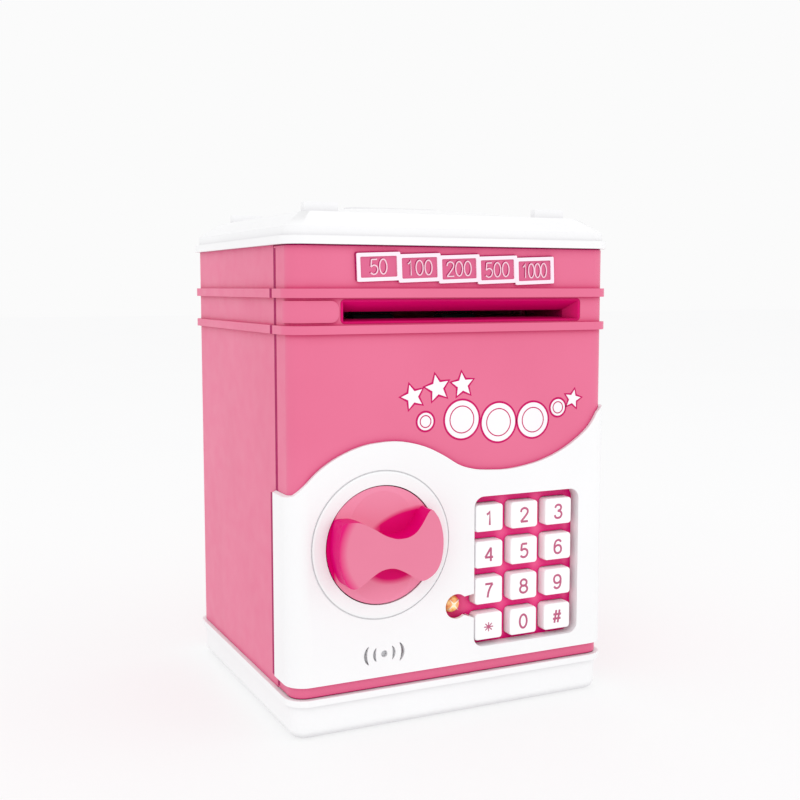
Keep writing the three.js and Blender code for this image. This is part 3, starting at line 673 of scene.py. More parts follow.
def make_base():
    rings = []
    for i in range(9):
        a = math.radians(90 * i / 8)
        rings.append(at_z(plan(-BASE_FILLET * (1 - math.sin(a))), BASE_FILLET * (1 - math.cos(a))))
    ledge = plan(BASE_PROUD)
    rings += [at_z(plan(0), BASE_LEDGE), at_z(ledge, BASE_LEDGE), at_z(ledge, BASE_TOP)]
    base = cut(loft(rings), prism(plan(-WALL - 0.6), "z", BASE_FLOOR, BASE_TOP + 1))
    add(base, rod("z", *HINGE, KNUCKLE_R, 2, BASE_TOP, 32))
    add(base, *[corner_post(x, y, 2, BASE_TOP, 4.3) for x, y in POSTS])
    cut(base, *[rod("z", x, y, SCREW_CLEAR_R, -1, BASE_TOP + 1, 24) for x, y in POSTS])
    cut(base, *[rod("z", x, y, SCREW_HEAD_R, -1, 5, 32) for x, y in POSTS])
    cut(base, rod("z", *HINGE, PIN_BORE_R, 5, BASE_TOP + 1, 32))
    finish_piece(base, "base_moulding", "cabinet", "base", WHITE, 0.4, 3)


def lid_ring(x, y, r, z):
    return at_z(round_rect((-x, x), (-y, y), r, 12), z)


def crown(points, low):
    half = points[0][0]
    mirrored = points + [(-x, z) for x, z in reversed(points[:-1])]
    return [(-half, low), (half, low)] + smooth_curve(mirrored, 5)


def arched(outline, floor, half):
    """The outline pushed along Y, flattening towards both ends."""
    rows = 24
    rings = []
    for i in range(rows + 1):
        along = 2 * i / rows - 1
        share = 1 - 0.8 * along * along
        rings.append(at_y([(x, floor + (z - floor) * share) for x, z in outline], along * half))
    return loft(rings)


def make_lid():
    brim = plan(LID_PROUD)
    rim = plan(0.5)
    lid = loft([
        at_z(brim, LID_Z), at_z(brim, BRIM_TOP), at_z(rim, BRIM_TOP),
        at_z(rim, SLOPE_FROM), lid_ring(57.4, 51, 4, SLOPE_TOP),
    ])
    inner = [at_z(plan(-WALL), LID_Z - 1), at_z(plan(-WALL), 180.6), lid_ring(55.4, 49, 3, 184.7)]
    cut(lid, loft(inner))
    add(lid, arched(crown(CROWN_OUTSIDE, 186.2), 186, 46))
    cut(lid, arched(crown(CROWN_INSIDE, 183), 184, 43.8))
    for sx in (-1, 1):
        for sy in (-1, 1):
            xs = sorted(sx * x for x in TAB_X)
            ys = sorted(sy * y for y in TAB_Y)
            add(lid, block(xs, ys, (185.5, TAB_TOP)))
    add(lid, prism(round_rect(*COIN_RIM, 4), "z", 189, lid_high[2]))
    lip = cut(ring_around(-WALL - 0.25, -WALL - 2, 172.6, LID_Z + 0.2), in_front(-38))
    cut(lip, *[corner_post(x, y, 170, LID_Z - 0.02) for x, y in POSTS])
    add(lid, lip)
    add(lid, *[corner_post(x, y, LID_Z, 181) for x, y in POSTS])
    add(lid, *[rod("z", x, y, 1.95, 165, LID_Z + 1, 24) for x, y in POSTS])
    add(lid, rod("z", *HINGE, KNUCKLE_R, LID_Z, 181.2, 32))
    cut(lid, rod("z", *HINGE, PIN_BORE_R, LID_Z - 1, 181, 32), block(*COIN_SLOT, (180, 195)))
    finish_piece(lid, "lid_moulding", "cabinet", "lid", WHITE, 0.45, 3)


# ---------- door ----------
def light_window(grow):
    neck = [
        (LIGHT_X + 2, LIGHT_Z - 3.2 - grow), (PAD_X[0] + 2.5, LIGHT_Z - 6.2 - grow),
        (PAD_X[0] + 2.5, LIGHT_Z + 4.4 + grow), (LIGHT_X + 2, LIGHT_Z + 3.2 + grow),
    ]
    spot = prism(circle(LIGHT_X, LIGHT_Z, LIGHT_R + grow, 48), "y", AHEAD, -54.55)
    return add(spot, prism(neck, "y", AHEAD - 1, -54.5))


def pad_window(grow, start, end):
    xs = (PAD_X[0] - grow, PAD_X[1] + grow)
    zs = (PAD_Z[0] - grow, PAD_Z[1] + grow)
    return prism(round_rect(xs, zs, PAD_R + grow), "y", start, end)


def make_door_shell():
    z0, z1 = door_low[2], door_high[2]
    shell = cut(prism(plan(0), "z", z0, z1), prism(plan(-WALL), "z", z0 + WALL, z1 - WALL))
    for a, b in BANDS:
        add(shell, cut(ring_around(BAND_PROUD, -1, a, b), hinge_side(HINGE_SIDE_TRIM, FAR)))
    keep(shell, in_front(DOOR_BACK))
    edge = [(HALF_W + 1, DOOR_BACK - 2), (HALF_W + 1, DOOR_BACK + 1), (HALF_W - 2, DOOR_BACK + 1)]
    cut(shell, prism(edge, "z", 0, FAR))
    add(
        shell,
        rod("y", KNOB_X, KNOB_Z, CUP_WALL_R, FRONT, CUP_BACK + 1.6, 96),
        rod("y", KNOB_X, KNOB_Z, 6.5, CUP_BACK, -46, 48),
        rod("z", *HINGE, KNUCKLE_R, z0, 20, 32),
        rod("z", *HINGE, KNUCKLE_R, 162, z1, 32),
        *[rod("y", x, z, 2.6, FRONT + WALL - 0.5, -25.8, 24) for x, z in COVER_SCREWS],
        keep(
            ring_around(SLOT_PAD_PROUD, -1, *SLOT_PAD[1]),
            prism(round_rect(*SLOT_PAD, 3.0), "y", AHEAD, FRONT + CORNER_R),
        ),
    )
    cut(
        shell,
        rod("y", KNOB_X, KNOB_Z, CUP_R, AHEAD, CUP_BACK, 96),
        rod("y", KNOB_X, KNOB_Z, 4.33, -60, -40, 48),
        rod("z", *HINGE, 2.05, z0 - 1, 27, 32),
        rod("z", *HINGE, 2.05, 163.5, z1 + 1, 32),
        pad_window(1.5, AHEAD, INSIDE),
        light_window(1.3),
        rod("y", SPEAKER_X, SPEAKER_Z, 8.5, AHEAD, INSIDE, 48),
        prism(round_rect(*SLOT_OPENING), "y", AHEAD, INSIDE),
        *[rod("y", x, z, 1.05, -38, -20, 16) for x, z in COVER_SCREWS],
    )
    finish_piece(shell, "door_shell_moulding", "door", "door_shell", PINK)


def make_seam_shade_lip():
    """Dark magenta lips round the door's edges, in the seams to the rear shell, the lid and the base, and
    behind the panel's edge: painted shade where the seams lie in shadow.
    """
    z0, z1 = door_low[2], door_high[2]
    side = ring_around(SEAM_SKIN, -WALL + 0.3, z0 + 0.6, z1 - 0.6)
    add(side, *[ring_around(BAND_PROUD + SEAM_SKIN, -1, a - SEAM_SKIN, b + SEAM_SKIN) for a, b in BANDS])
    keep(side, block((-FAR, 50), (DOOR_BACK - 1.9, DOOR_BACK + 0.32), (0, FAR)))
    panel_edge = (-HALF_W - PANEL_PROUD + 0.15, -HALF_W - 0.12)
    behind_panel = block(panel_edge, (DOOR_BACK - 0.3, DOOR_BACK + 2.25), (panel_low[2] + 0.3, 87.2))
    top = keep(ring_around(-0.3, -WALL + 0.3, z1 - 0.2, z1 + 0.38), in_front(DOOR_BACK))
    bottom = keep(ring_around(-0.3, -WALL + 0.3, z0 - 0.38, z0 + 0.2), in_front(DOOR_BACK))
    lips = join(side, behind_panel, top, bottom)
    finish_piece(lips, "door_seam_shade_lip", "door", None, SEAM_SHADE, 0)


SOUND_ARCS = [(3.9, 4.2, 1.35, 0.98), (1.2, 3.3, 1.2, 0.9)]


def sound_arc(side, middle, r, thick, span):
    """Slot shaped like a sound wave, widest in its middle."""
    centre = SPEAKER_X + side * middle
    shares = [2 * i / 16 - 1 for i in range(17)]
    rows = [(s, r) for s in shares] + [(s, r - thick * (1 - 0.75 * s * s)) for s in reversed(shares)]
    points = [
        (centre + side * reach * math.cos(span * s), SPEAKER_Z + reach * math.sin(span * s))
        for s, reach in rows
    ]
    return prism(points, "y", AHEAD, INSIDE)


def make_door_panel():
    crest = [
        (-64, 88.5), (-56.5, 95.9), (-50.5, 100), (-44.5, 102.8), (-38.4, 104.7), (-32.2, 105.5),
        (-25.9, 105.6), (-19.5, 104.6), (-13.1, 102.6), (-6.5, 99.3), (0.2, 95.3), (6.9, 93.3), (13.8, 92.6),
        (20.7, 92.45), (27.7, 93.2), (34.8, 94.6), (42, 97), (49.2, 100.7), (56.5, 106.1), (61, 112.2),
    ]
    wave = [(-68, 87)] + smooth_curve(crest) + [(64, 114), (68, 114.5)]
    outline = [(68, panel_low[2]), (-68, panel_low[2])] + wave
    panel = ring_around(PANEL_PROUD, 0.05, 18, 120)
    keep(panel, in_front(DOOR_BACK - 0.05))
    keep(panel, prism(outline, "y", AHEAD, 0))
    cut(panel, hinge_side(HINGE_SIDE_TRIM, FAR))
    ring = [
        (0, FRONT - 0.5), (RING_R, FRONT - 0.5), (RING_R, PANEL_FRONT - 0.1),
        (RING_R - 0.9, PANEL_FRONT - 0.45), (0, PANEL_FRONT - 0.45),
    ]
    add(panel, turned("y", KNOB_X, KNOB_Z, ring, 128), pad_window(1.2, FRONT - 1, plate_low[1] - 0.1))
    cut(
        panel,
        pad_window(0, AHEAD, INSIDE),
        light_window(0),
        rod("y", KNOB_X, KNOB_Z, KNOB_HOLE, AHEAD, INSIDE, 128),
        cut(
            rod("y", KNOB_X, KNOB_Z, RING_R + 0.5, AHEAD, PANEL_FRONT + 0.45, 128),
            rod("y", KNOB_X, KNOB_Z, RING_R, AHEAD - 1, PANEL_FRONT + 1, 128),
        ),
        *[sound_arc(side, *arc) for arc in SOUND_ARCS for side in (-1, 1)],
        rod("y", SPEAKER_X, SPEAKER_Z, 1.25, AHEAD, INSIDE, 24),
    )
    finish_piece(panel, "door_panel_moulding", "door", "door_panel", WHITE, 0.3)
    dome = [
        (0, FRONT + 0.07), (5, FRONT + 0.12), (7.4, FRONT + 0.3), (8.3, FRONT + 0.6),
        (8.45, FRONT + 1), (0, FRONT + 1),
    ]
    cloth = turned("y", SPEAKER_X, SPEAKER_Z, dome)
    finish_piece(cloth, "speaker_cloth", "door", None, CLOTH, 0)


# ---------- joined and drawn shapes ----------
def join(first, *others):
    """Puts the other objects' meshes into the first one, as loose shells."""
    work = bmesh.new()
    for obj in (first, *others):
        work.from_mesh(obj.data)
    work.to_mesh(first.data)
    work.free()
    for obj in others:
        bpy.data.objects.remove(obj)
    return first


def to_mesh(obj):
    """Gives a mesh object in place of a curve object."""
    bpy.context.scene.collection.objects.link(obj)
    view = bpy.context.evaluated_depsgraph_get()
    mesh = bpy.data.meshes.new_from_object(obj.evaluated_get(view))
    bpy.data.objects.remove(obj)
    made = bpy.data.objects.new("strokes", mesh)
    bpy.context.scene.collection.objects.link(made)
    return made


def strokes(paths, r, y):
    """Round-ended tubes along flat paths of (x, z) points in front of the door."""
    data = bpy.data.curves.new("strokes", "CURVE")
    data.dimensions = "3D"
    data.bevel_depth = r
    data.bevel_resolution = 2
    data.use_fill_caps = True
    for points, closed in paths:
        spline = data.splines.new("POLY")
        spline.points.add(len(points) - 1)
        for point, (x, z) in zip(spline.points, points):
            point.co = (x, y, z, 1)
        spline.use_cyclic_u = closed
    return to_mesh(bpy.data.objects.new("curve", data))


def flatten(obj, y, share):
    for vertex in obj.data.vertices:
        vertex.co.y = y + (vertex.co.y - y) * share
    return obj


def star(u, v, r, turn, points=5, waist=0.46):
    out = []
    for i in range(points * 2):
        a = turn + math.pi * i / points + math.pi / 2
        reach = r if i % 2 == 0 else r * waist
        out.append((u + reach * math.cos(a), v + reach * math.sin(a)))
    return out


# ---------- denomination cards ----------
CARD_TILT = math.radians(2.2)
CARD_PITCH = 16.0
CARD_HALF = (8.4, 5.0)
WELL_HALF = (7.05, 3.65)
CARD_TEXTS = ["50", "100", "200", "500", "1000"]
CARD_X = (strip_low[0] + strip_high[0]) / 2 - 2 * CARD_PITCH
CARD_Z = 167.6
CARD_DROP = 0.25
CARD_FACE = strip_low[1]
NUMERAL_TALL = 5.2
NUMERAL_R = 0.27
CELL_WIDE = 0.62
CELL_MIDDLE = 0.31


def digit(character):
    """Strokes of one character in a cell 0.62 wide and 1 tall: (points, closed) pairs."""
    def loop(cu, cv, ru, rv):
        turns = [2 * math.pi * i / 24 for i in range(24)]
        return ([(cu + ru * math.cos(a), cv + rv * math.sin(a)) for a in turns], True)

    if character == "0":
        return [loop(0.31, 0.5, 0.27, 0.5)]
    if character == "1":
        return [([(0.12, 0.78), (0.24, 0.85), (0.34, 1.0), (0.34, 0.0)], False)]
    if character == "2":
        bend = [(0.05, 0.72), (0.1, 0.9), (0.3, 1.0), (0.52, 0.9), (0.56, 0.68), (0.42, 0.44), (0.04, 0.0)]
        return [(smooth_curve(bend, 4), False), ([(0.04, 0.0), (0.58, 0.0)], False)]
    if character == "3":
        top = [(0.06, 0.78), (0.14, 0.94), (0.3, 1.0), (0.47, 0.93), (0.53, 0.76), (0.44, 0.6), (0.26, 0.54)]
        low = [
            (0.26, 0.54), (0.47, 0.48), (0.57, 0.28), (0.48, 0.07), (0.29, 0.0), (0.11, 0.06), (0.03, 0.24),
        ]
        return [(smooth_curve(top, 4), False), (smooth_curve(low, 4), False)]
    if character == "4":
        return [
            ([(0.44, 0.0), (0.44, 1.0)], False), ([(0.44, 1.0), (0.02, 0.3)], False),
            ([(0.02, 0.3), (0.6, 0.3)], False),
        ]
    if character == "5":
        bowl = [(0.09, 0.5), (0.3, 0.62), (0.52, 0.52), (0.58, 0.3), (0.48, 0.08), (0.27, 0.0), (0.04, 0.12)]
        return [
            ([(0.54, 1.0), (0.14, 1.0)], False), ([(0.14, 1.0), (0.09, 0.5)], False),
            (smooth_curve(bowl, 4), False),
        ]
    if character in "69":
        hook = [(0.55, 0.84), (0.46, 0.96), (0.31, 1.0), (0.14, 0.9), (0.05, 0.64), (0.04, 0.34)]
        bowl = [
            (0.04, 0.34), (0.12, 0.09), (0.31, 0.0), (0.5, 0.08), (0.57, 0.3), (0.5, 0.53), (0.31, 0.61),
            (0.13, 0.53),
        ]
        if character == "9":
            hook = [(0.61 - u, 1 - v) for u, v in hook]
            bowl = [(0.61 - u, 1 - v) for u, v in bowl]
        return [(smooth_curve(hook, 4), False), (smooth_curve(bowl, 4, closed=True), True)]
    if character == "7":
        stem = [(0.58, 1.0), (0.4, 0.7), (0.28, 0.38), (0.22, 0.0)]
        return [([(0.04, 1.0), (0.58, 1.0)], False), (smooth_curve(stem, 4), False)]
    if character == "8":
        return [loop(0.31, 0.76, 0.23, 0.24), loop(0.31, 0.27, 0.28, 0.27)]
    if character == "*":
        spokes = [math.pi * i / 4 for i in range(4)]
        ends = [(0.34 * math.cos(a), 0.34 * math.sin(a)) for a in spokes]
        return [([(CELL_MIDDLE - u, 0.46 - v), (CELL_MIDDLE + u, 0.46 + v)], False) for u, v in ends]
    return [
        ([(0.12, 0.02), (0.26, 0.98)], False), ([(0.38, 0.02), (0.52, 0.98)], False),
        ([(0.0, 0.33), (0.6, 0.33)], False), ([(0.03, 0.66), (0.63, 0.66)], False),
    ]


def on_card(index, points, shift=0.0):
    """The points on one tilted card, moved by the shift along its width and down its height."""
    cx = CARD_X + index * CARD_PITCH
    cz = CARD_Z - index * CARD_DROP
    across = math.cos(CARD_TILT)
    rise = math.sin(CARD_TILT)
    return [
        (cx + (u + shift) * across - (v - shift) * rise, cz + (u + shift) * rise + (v - shift) * across)
        for u, v in points
    ]


def make_denomination_cards():
    outer = round_rect((-CARD_HALF[0], CARD_HALF[0]), (-CARD_HALF[1], CARD_HALF[1]), 0.5, 3)
    well = round_rect((-WELL_HALF[0], WELL_HALF[0]), (-WELL_HALF[1], WELL_HALF[1]), 0.4, 3)
    frames = []
    fields = []
    numerals = []
    shadows = []
    card_shadows = []
    for i, text in enumerate(CARD_TEXTS):
        hole = on_card(i, well)
        card_front = CARD_FACE + 0.05 * (i % 2)
        card = prism(on_card(i, outer), "y", card_front, FRONT - 0.05)
        frames.append(cut(card, prism(hole, "y", AHEAD, FRONT - 0.3)))
        fields.append(prism(hole, "y", FRONT - 0.45, FRONT - 0.2))
        # Painted shadow: a magenta copy of the card behind it, shifted up and to the left, showing along its
        # edges.
        back = prism(on_card(i, outer, -0.3), "y", CARD_FACE + 0.5, FRONT - 0.02)
        card_shadows.append(cut(back, prism(hole, "y", AHEAD, 0)))
        wide = CELL_WIDE * NUMERAL_TALL
        gap = 0.34 if len(text) < 4 else -0.05
        if len(text) == 4:
            wide *= 0.86
        start = -(len(text) * wide + (len(text) - 1) * gap) / 2
        for k, character in enumerate(text):
            left = start + k * (wide + gap)
            for points, closed in digit(character):
                flat = [(left + u / CELL_WIDE * wide, (v - 0.5) * NUMERAL_TALL) for u, v in points]
                numerals.append((on_card(i, flat), closed))
                shadows.append((on_card(i, flat, -0.24), closed))
    cards = frames[0]
    for other in frames[1:]:
        add(cards, other)
    finish_piece(cards, "denomination_frames", "door", "denomination_strip", CARD_WHITE, 0.14)
    finish_piece(join(*card_shadows), "denomination_card_shadows", "door", None, SEAM_SHADE, 0)
    finish_piece(join(*fields), "denomination_fields", "door", None, PINK_FIELD, 0)
    white = strokes(numerals, NUMERAL_R, FRONT - 0.55)
    finish_piece(white, "denomination_numerals", "door", None, NUMERAL, 0)
    # Painted shadow: magenta strokes behind the numerals, shifted up and to the left.
    painted_shade = strokes(shadows, NUMERAL_R, FRONT - 0.36)
    finish_piece(painted_shade, "denomination_numeral_shadows", "door", None, SEAM_SHADE, 0)


# ---------- note slot and keypad ----------
def slot_ring(xs, zs, y):
    return [(xs[0], y, zs[0]), (xs[0], y, zs[1]), (xs[1], y, zs[1]), (xs[1], y, zs[0])]


def make_note_bezel():
    bezel = prism(round_rect(*BEZEL_OUTLINE, 8), "y", FRONT, -54)
    add(bezel, block((-50, 56), (-55.9, -54.4), (144.5, 159.5)), block((-47, 50), (-55, -51), (146.9, 155.6)))
    funnel = loft([
        slot_ring(*NOTE_MOUTH, FRONT - 0.1),
        slot_ring(*NOTE_THROAT, -53.5),
        slot_ring(*NOTE_THROAT, INSIDE),
    ])
    cut(bezel, funnel)
    finish_piece(bezel, "note_bezel_moulding", "door", "note_bezel", MAGENTA, 0.3)


def key_centre(name):
    low, high = box_mm(name)
    return (low[0] + high[0]) / 2, (low[2] + high[2]) / 2


KEY_HALF = (6.0, 5.2)
KEY_CORNER = 1.3
MARK_TALL = 5.2
MARK_WIDE = 1.12
MARK_R = 0.43
STAR_R = 0.23


def make_keypad_plate():
    tab = round_rect((-8.5, 20), (LIGHT_Z - 7, LIGHT_Z + 7), 3)
    plate = add(pad_window(2.2, plate_low[1], plate_high[1]), prism(tab, "y", plate_low[1], plate_high[1]))
    w = KEY_HALF[0] + 0.25
    h = KEY_HALF[1] + 0.25
    for name in KEY_MARKS:
        x, z = key_centre(name)
        cut(plate, prism(round_rect((x - w, x + w), (z - h, z + h), KEY_R + 0.25, 6), "y", -60, -50))
    cut(plate, rod("y", LIGHT_X, LIGHT_Z, 3.5, -60, -50, 48))
    finish_piece(plate, "keypad_plate_moulding", "door", "keypad_plate", PLATE, 0.2)


def make_key(name, text):
    low, high = box_mm(name)
    x, z = key_centre(name)
    face_y = low[1]
    back_y = high[1] - 0.25
    edge = 0.45

    def outline(grow, y):
        xs = (x - KEY_HALF[0] - grow, x + KEY_HALF[0] + grow)
        zs = (z - KEY_HALF[1] - grow, z + KEY_HALF[1] + grow)
        return at_y(round_rect(xs, zs, KEY_CORNER + grow, 6), y)

    rings = [outline(0, back_y), outline(-0.05, face_y + 1.0)]
    for i in range(7):
        a = math.radians(15 * i)
        rings.append(outline(-0.1 - edge * (1 - math.cos(a)), face_y + edge * (1 - math.sin(a))))
    cap = loft(rings)
    add(cap, block((x - 6.8, x + 6.8), (-52.7, back_y), (z - 5.9, z + 5.9)))
    add(cap, block((x - 2, x + 2), (back_y - 0.1, high[1]), (z - 2, z + 2)))
    finish_piece(cap, name + "_cap", name, name, KEY_WHITE, 0)

    def on_key(points):
        return [
            (x + (u - CELL_MIDDLE) * MARK_TALL * MARK_WIDE, z - 0.1 + (v - 0.5) * MARK_TALL)
            for u, v in points
        ]

    paths = [(on_key(points), closed) for points, closed in digit(text)]
    r = STAR_R if text == "*" else MARK_R
    ink = flatten(strokes(paths, r, face_y), face_y, 0.06 / r)
    finish_piece(ink, name + "_mark", name, None, INK, 0)


# ---------- lock knob ----------
GRIP = [
    (-18.7, 10.4), (-16, 11.1), (-11.9, 10.6), (-7.1, 8.2), (-2.8, 5.5), (1, 4), (3.5, 3.7), (6.5, 4),
    (9.3, 5.4), (11.6, 8), (15, 13), (17.2, 11.5), (19, 8.1), (20.2, 2.3), (19.6, -4.8), (17.2, -9.7),
    (12.7, -12.3), (9.3, -11.2), (4.9, -8.4), (0.5, -6.6), (-3.9, -6.9), (-7.6, -8.8), (-10.3, -10.7),
    (-13.5, -12.4), (-16.7, -11.5), (-18.9, -6.8), (-20.2, -0.7), (-19.9, 5),
]
SCOOP_R = 55.0
SCOOP_DEEP = 1.4


def ball(x, y, z, r):
    rows = 96
    arc = [(r * math.sin(math.pi * i / rows), y - r * math.cos(math.pi * i / rows)) for i in range(rows + 1)]
    arc[0] = (0, y - r)
    arc[-1] = (0, y + r)
    return turned("y", x, z, arc, rows)


def make_knob():
    knob = rod("y", KNOB_X, KNOB_Z, KNOB_R, PANEL_FRONT - 0.1, CUP_BACK - 0.35, 128)
    for offset in (7, -8):
        cut(knob, ball(KNOB_X, PANEL_FRONT + SCOOP_DEEP - SCOOP_R, KNOB_Z + offset, SCOOP_R))
    outline = [(u + KNOB_X, v + KNOB_Z) for u, v in smooth_curve(GRIP, 4, closed=True)]
    add(knob, prism(outline, "y", GRIP_Y, -55), rod("y", KNOB_X, KNOB_Z, 4.25, -56, -44, 64))
    cut(
        knob,
        block((KNOB_X - 2.6, KNOB_X + 2.6), (-52, -40), (KNOB_Z - 2.6, KNOB_Z + 2.6)),
        rod("y", KNOB_X, KNOB_Z, 1.25, -56, -50, 16),
    )
    finish_piece(knob, "knob_moulding", "lock_knob", "knob", PINK_SOFT, 0.9, 5)


# ---------- indicator ----------
def make_indicator():
    sides = 16
    profile = [
        (0, lens_low[1]), (1.5, lens_low[1] + 0.12), (2.5, lens_low[1] + 0.75), (3.15, lens_low[1] + 1.7),
        (3.3, -54.8), (3.3, -52.8), (4.4, -52.8), (4.4, lens_high[1]), (0, lens_high[1]),
    ]
    lens = turned("y", LIGHT_X, LIGHT_Z, profile, sides)
    finish_piece(lens, "indicator_jewel", "door", "indicator_lens", JEWEL, 0)
    for face in lens.data.polygons:
        face.use_smooth = False
    rays = star(LIGHT_X, LIGHT_Z, 2.9, math.radians(38), 4, 0.16)
    glint = prism(rays, "y", lens_low[1] + 0.02, lens_low[1] + 0.9)
    finish_piece(glint, "indicator_glint", "door", None, SPARKLE, 0)


# ---------- inside of the door ----------
def make_inner_cover():
    xs = (cover_low[0], cover_high[0])
    zs = (cover_low[2], cover_high[2])
    wall = 1.6
    front, back = cover_low[1], cover_high[1]
    cover = prism(round_rect(xs, zs, 3, 8), "y", front, back)
    pocket = round_rect((xs[0] + wall, xs[1] - wall), (zs[0] + wall, zs[1] - wall), 1.6, 6)
    cut(cover, prism(pocket, "y", front - 1, back - wall))
    groove = cut(
        prism(round_rect((xs[0] + 9, xs[1] - 9), (81, 140), 3, 6), "y", back - 0.5, back + 1),
        prism(round_rect((xs[0] + 10.2, xs[1] - 10.2), (82.2, 138.8), 2, 6), "y", back - 1, back + 2),
    )
    cut(
        cover,
        groove,
        block((-60, -50), (-38.7, -34.7), (59.5, 70.5)),
        block((-45, 47), (-27, -20), (148, 153.2)),
        block((2.2, 54.2), (-27, -20), (24.8, 76)),
        *[rod("y", x, z, 1.2, -27, -20, 24) for x, z in COVER_SCREWS],
    )
    finish_piece(cover, "inner_cover_moulding", "door", "inner_cover", PINK, 0.4)


def make_battery_cover():
    screw = (28.5, 74.0)
    plate = block((2.5, 53.9), (cover_high[1] - 1.6, cover_high[1]), (25.1, 75.7))
    for z in (36, 44, 52, 60):
        add(plate, prism(round_rect((12, 45), (z, z + 1.5), 0.7, 4), "y", -24.5, battery_cover_high[1]))
    cut(plate, rod("y", *screw, 1.1, -27, -20, 24))
    finish_piece(plate, "battery_cover_moulding", "battery_cover", "battery_cover", PINK, 0.22)


# ---------- print on the front ----------
PRINT_COINS = [
    (-13.4, 112.0, 3.2), (1.6, 112.0, 7.0), (17.2, 110.2, 7.2), (32.2, 110.4, 6.6), (43.4, 114.6, 3.2),
]
PRINT_STARS = [
    (-18.6, 121.2, 4.6, 0.3), (-8.6, 124.0, 5.0, 0.2), (1.8, 124.8, 4.6, 0.1), (50.2, 117.6, 3.6, -0.2),
]


def make_print():
    """Plain coins and stars in white with a magenta edge, a tenth of a millimetre thick."""
    edges = []
    faces = []
    lines = []
    for x, z, r in PRINT_COINS:
        edges.append(prism(circle(x, z, r + 0.75, 64), "y", FRONT - 0.04, FRONT + 0.2))
        faces.append(prism(circle(x, z, r, 64), "y", FRONT - 0.07, FRONT + 0.1))
        inner = prism(circle(x, z, r * 0.74, 64), "y", FRONT - 0.1, FRONT + 0.05)
        lines.append(cut(inner, prism(circle(x, z, r * 0.74 - 0.4, 64), "y", FRONT - 1, FRONT + 1)))
    for x, z, r, turn in PRINT_STARS:
        edges.append(prism(star(x, z, r + 1.1, turn, waist=0.52), "y", FRONT - 0.04, FRONT + 0.2))
        faces.append(prism(star(x, z, r, turn), "y", FRONT - 0.07, FRONT + 0.1))
    finish_piece(join(*edges), "print_edges", "door", None, PRINT_MAGENTA, 0)
    finish_piece(join(*faces), "print_faces", "door", None, PRINT_WHITE, 0)
    finish_piece(join(*lines), "print_lines", "door", None, PRINT_MAGENTA, 0)


# ---------- CAD nodes that stay ----------
KEPT = [
    (STEEL, [
        "strike_plate", "hinge_pin_bottom", "hinge_pin_top", "solenoid_frame", "feed_motor",
        "knob_crank", "knob_screw", "lock_bolt", "solenoid_plunger", "battery_cover_screw",
        "drive_shaft", "base_screw_1", "base_screw_2", "base_screw_3", "base_screw_4",
        "cover_screw_1", "cover_screw_2", "cover_screw_3", "cover_screw_4",
    ]),
    (SOFT_GREY, ["key_membrane"]),
    (BOARD, ["main_board"]),
    (JEWEL, ["indicator_led"]),
    (BLACK, ["speaker", "battery_tray", "pressure_roller"]),
    (SLEEVE, ["battery_1", "battery_3"]),
    (SLEEVE_TURNED, ["battery_2"]),
    (GREY, ["bolt_guide"]),
    (COPPER, ["solenoid_coil"]),
    (MAGENTA, ["note_guide"]),
    (RUBBER, ["drive_tyre_1", "drive_tyre_2"]),
    (GEAR, ["drive_gear", "motor_pinion"]),
]


def dress_cad_nodes():
    for material, names in KEPT:
        for name in names:
            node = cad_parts[name]
            if node.material_slots:
                for slot in node.material_slots:
                    slot.material = material
            else:
                node.data.materials.append(material)


# ---------- studio ----------
CAMERA_AT = (-0.19626, -0.42166, 0.16035)
CAMERA_TURN = math.radians(-25.4186)
CAMERA_PITCH = math.radians(5.689)
CAMERA_LENS = 50.8


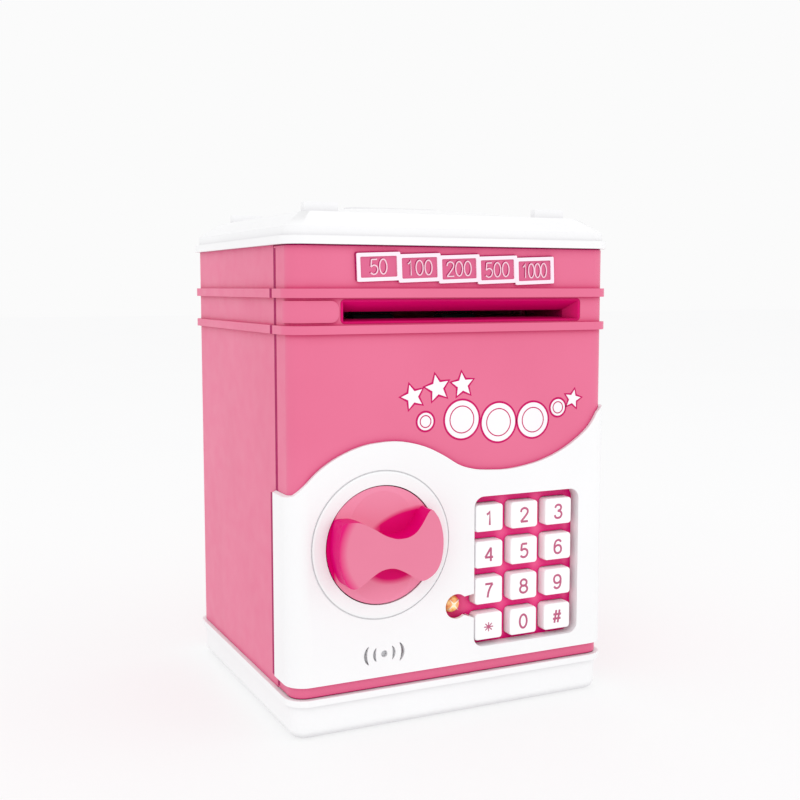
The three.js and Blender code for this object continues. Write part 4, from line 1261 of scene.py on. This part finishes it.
def make_camera():
    data = bpy.data.cameras.new("camera")
    data.lens = CAMERA_LENS
    data.sensor_width = 36
    data.dof.use_dof = False
    data.clip_start = 0.01
    data.clip_end = 20
    camera = bpy.data.objects.new("camera", data)
    bpy.context.scene.collection.objects.link(camera)
    back = Vector((
        math.sin(CAMERA_TURN) * math.cos(CAMERA_PITCH),
        -math.cos(CAMERA_TURN) * math.cos(CAMERA_PITCH),
        math.sin(CAMERA_PITCH),
    ))
    camera.location = CAMERA_AT
    camera.rotation_euler = (-back).to_track_quat("-Z", "Y").to_euler()
    bpy.context.scene.camera = camera


def soft_light(name, at, target, size, power):
    data = bpy.data.lights.new(name, "AREA")
    data.shape = "DISK"
    data.size = size
    data.energy = power
    light = bpy.data.objects.new(name, data)
    light.location = at
    light.rotation_euler = (Vector(target) - Vector(at)).to_track_quat("-Z", "Y").to_euler()
    bpy.context.scene.collection.objects.link(light)


def make_studio():
    half = 6.0
    corners = [(-half, -half, 0), (half, -half, 0), (half, half, 0), (-half, half, 0)]
    floor = to_object(corners, [(0, 1, 2, 3)], "floor")
    material, nodes, links, shader, coords = new_material("floor_paper")
    grain = noise(nodes, links, coords, 4.0)
    tone = blend_colour(nodes, links, grain, linear(170, 170, 170), linear(168, 168, 169))
    links.new(tone, shader.inputs["Base Color"])
    shader.inputs["Roughness"].default_value = 0.95
    shader.inputs["Specular IOR Level"].default_value = 0.0
    shader.inputs["Emission Color"].default_value = (1.0, 1.0, 1.0, 1.0)
    shader.inputs["Emission Strength"].default_value = 0.57
    floor.data.materials.append(material)
    middle = (0, 0, 0.1)
    soft_light("key_light", (-0.9, -1.3, 1.3), middle, 1.3, 4.5)
    soft_light("fill_light", (1.4, -1.0, 0.7), middle, 1.4, 2)
    world = bpy.data.worlds.new("studio")
    world.use_nodes = True
    background = world.node_tree.nodes["Background"]
    background.inputs["Color"].default_value = (1.0, 1.0, 1.0, 1.0)
    background.inputs["Strength"].default_value = 0.965
    bpy.context.scene.world = world
    bpy.context.scene.view_settings.view_transform = "Standard"


make_rear_shell()
make_base()
make_lid()
make_door_shell()
make_seam_shade_lip()
make_door_panel()
make_denomination_cards()
make_note_bezel()
make_keypad_plate()
for key_name, key_text in KEY_MARKS.items():
    make_key(key_name, key_text)
make_knob()
make_indicator()
make_inner_cover()
make_battery_cover()
make_print()
dress_cad_nodes()
make_camera()
make_studio()
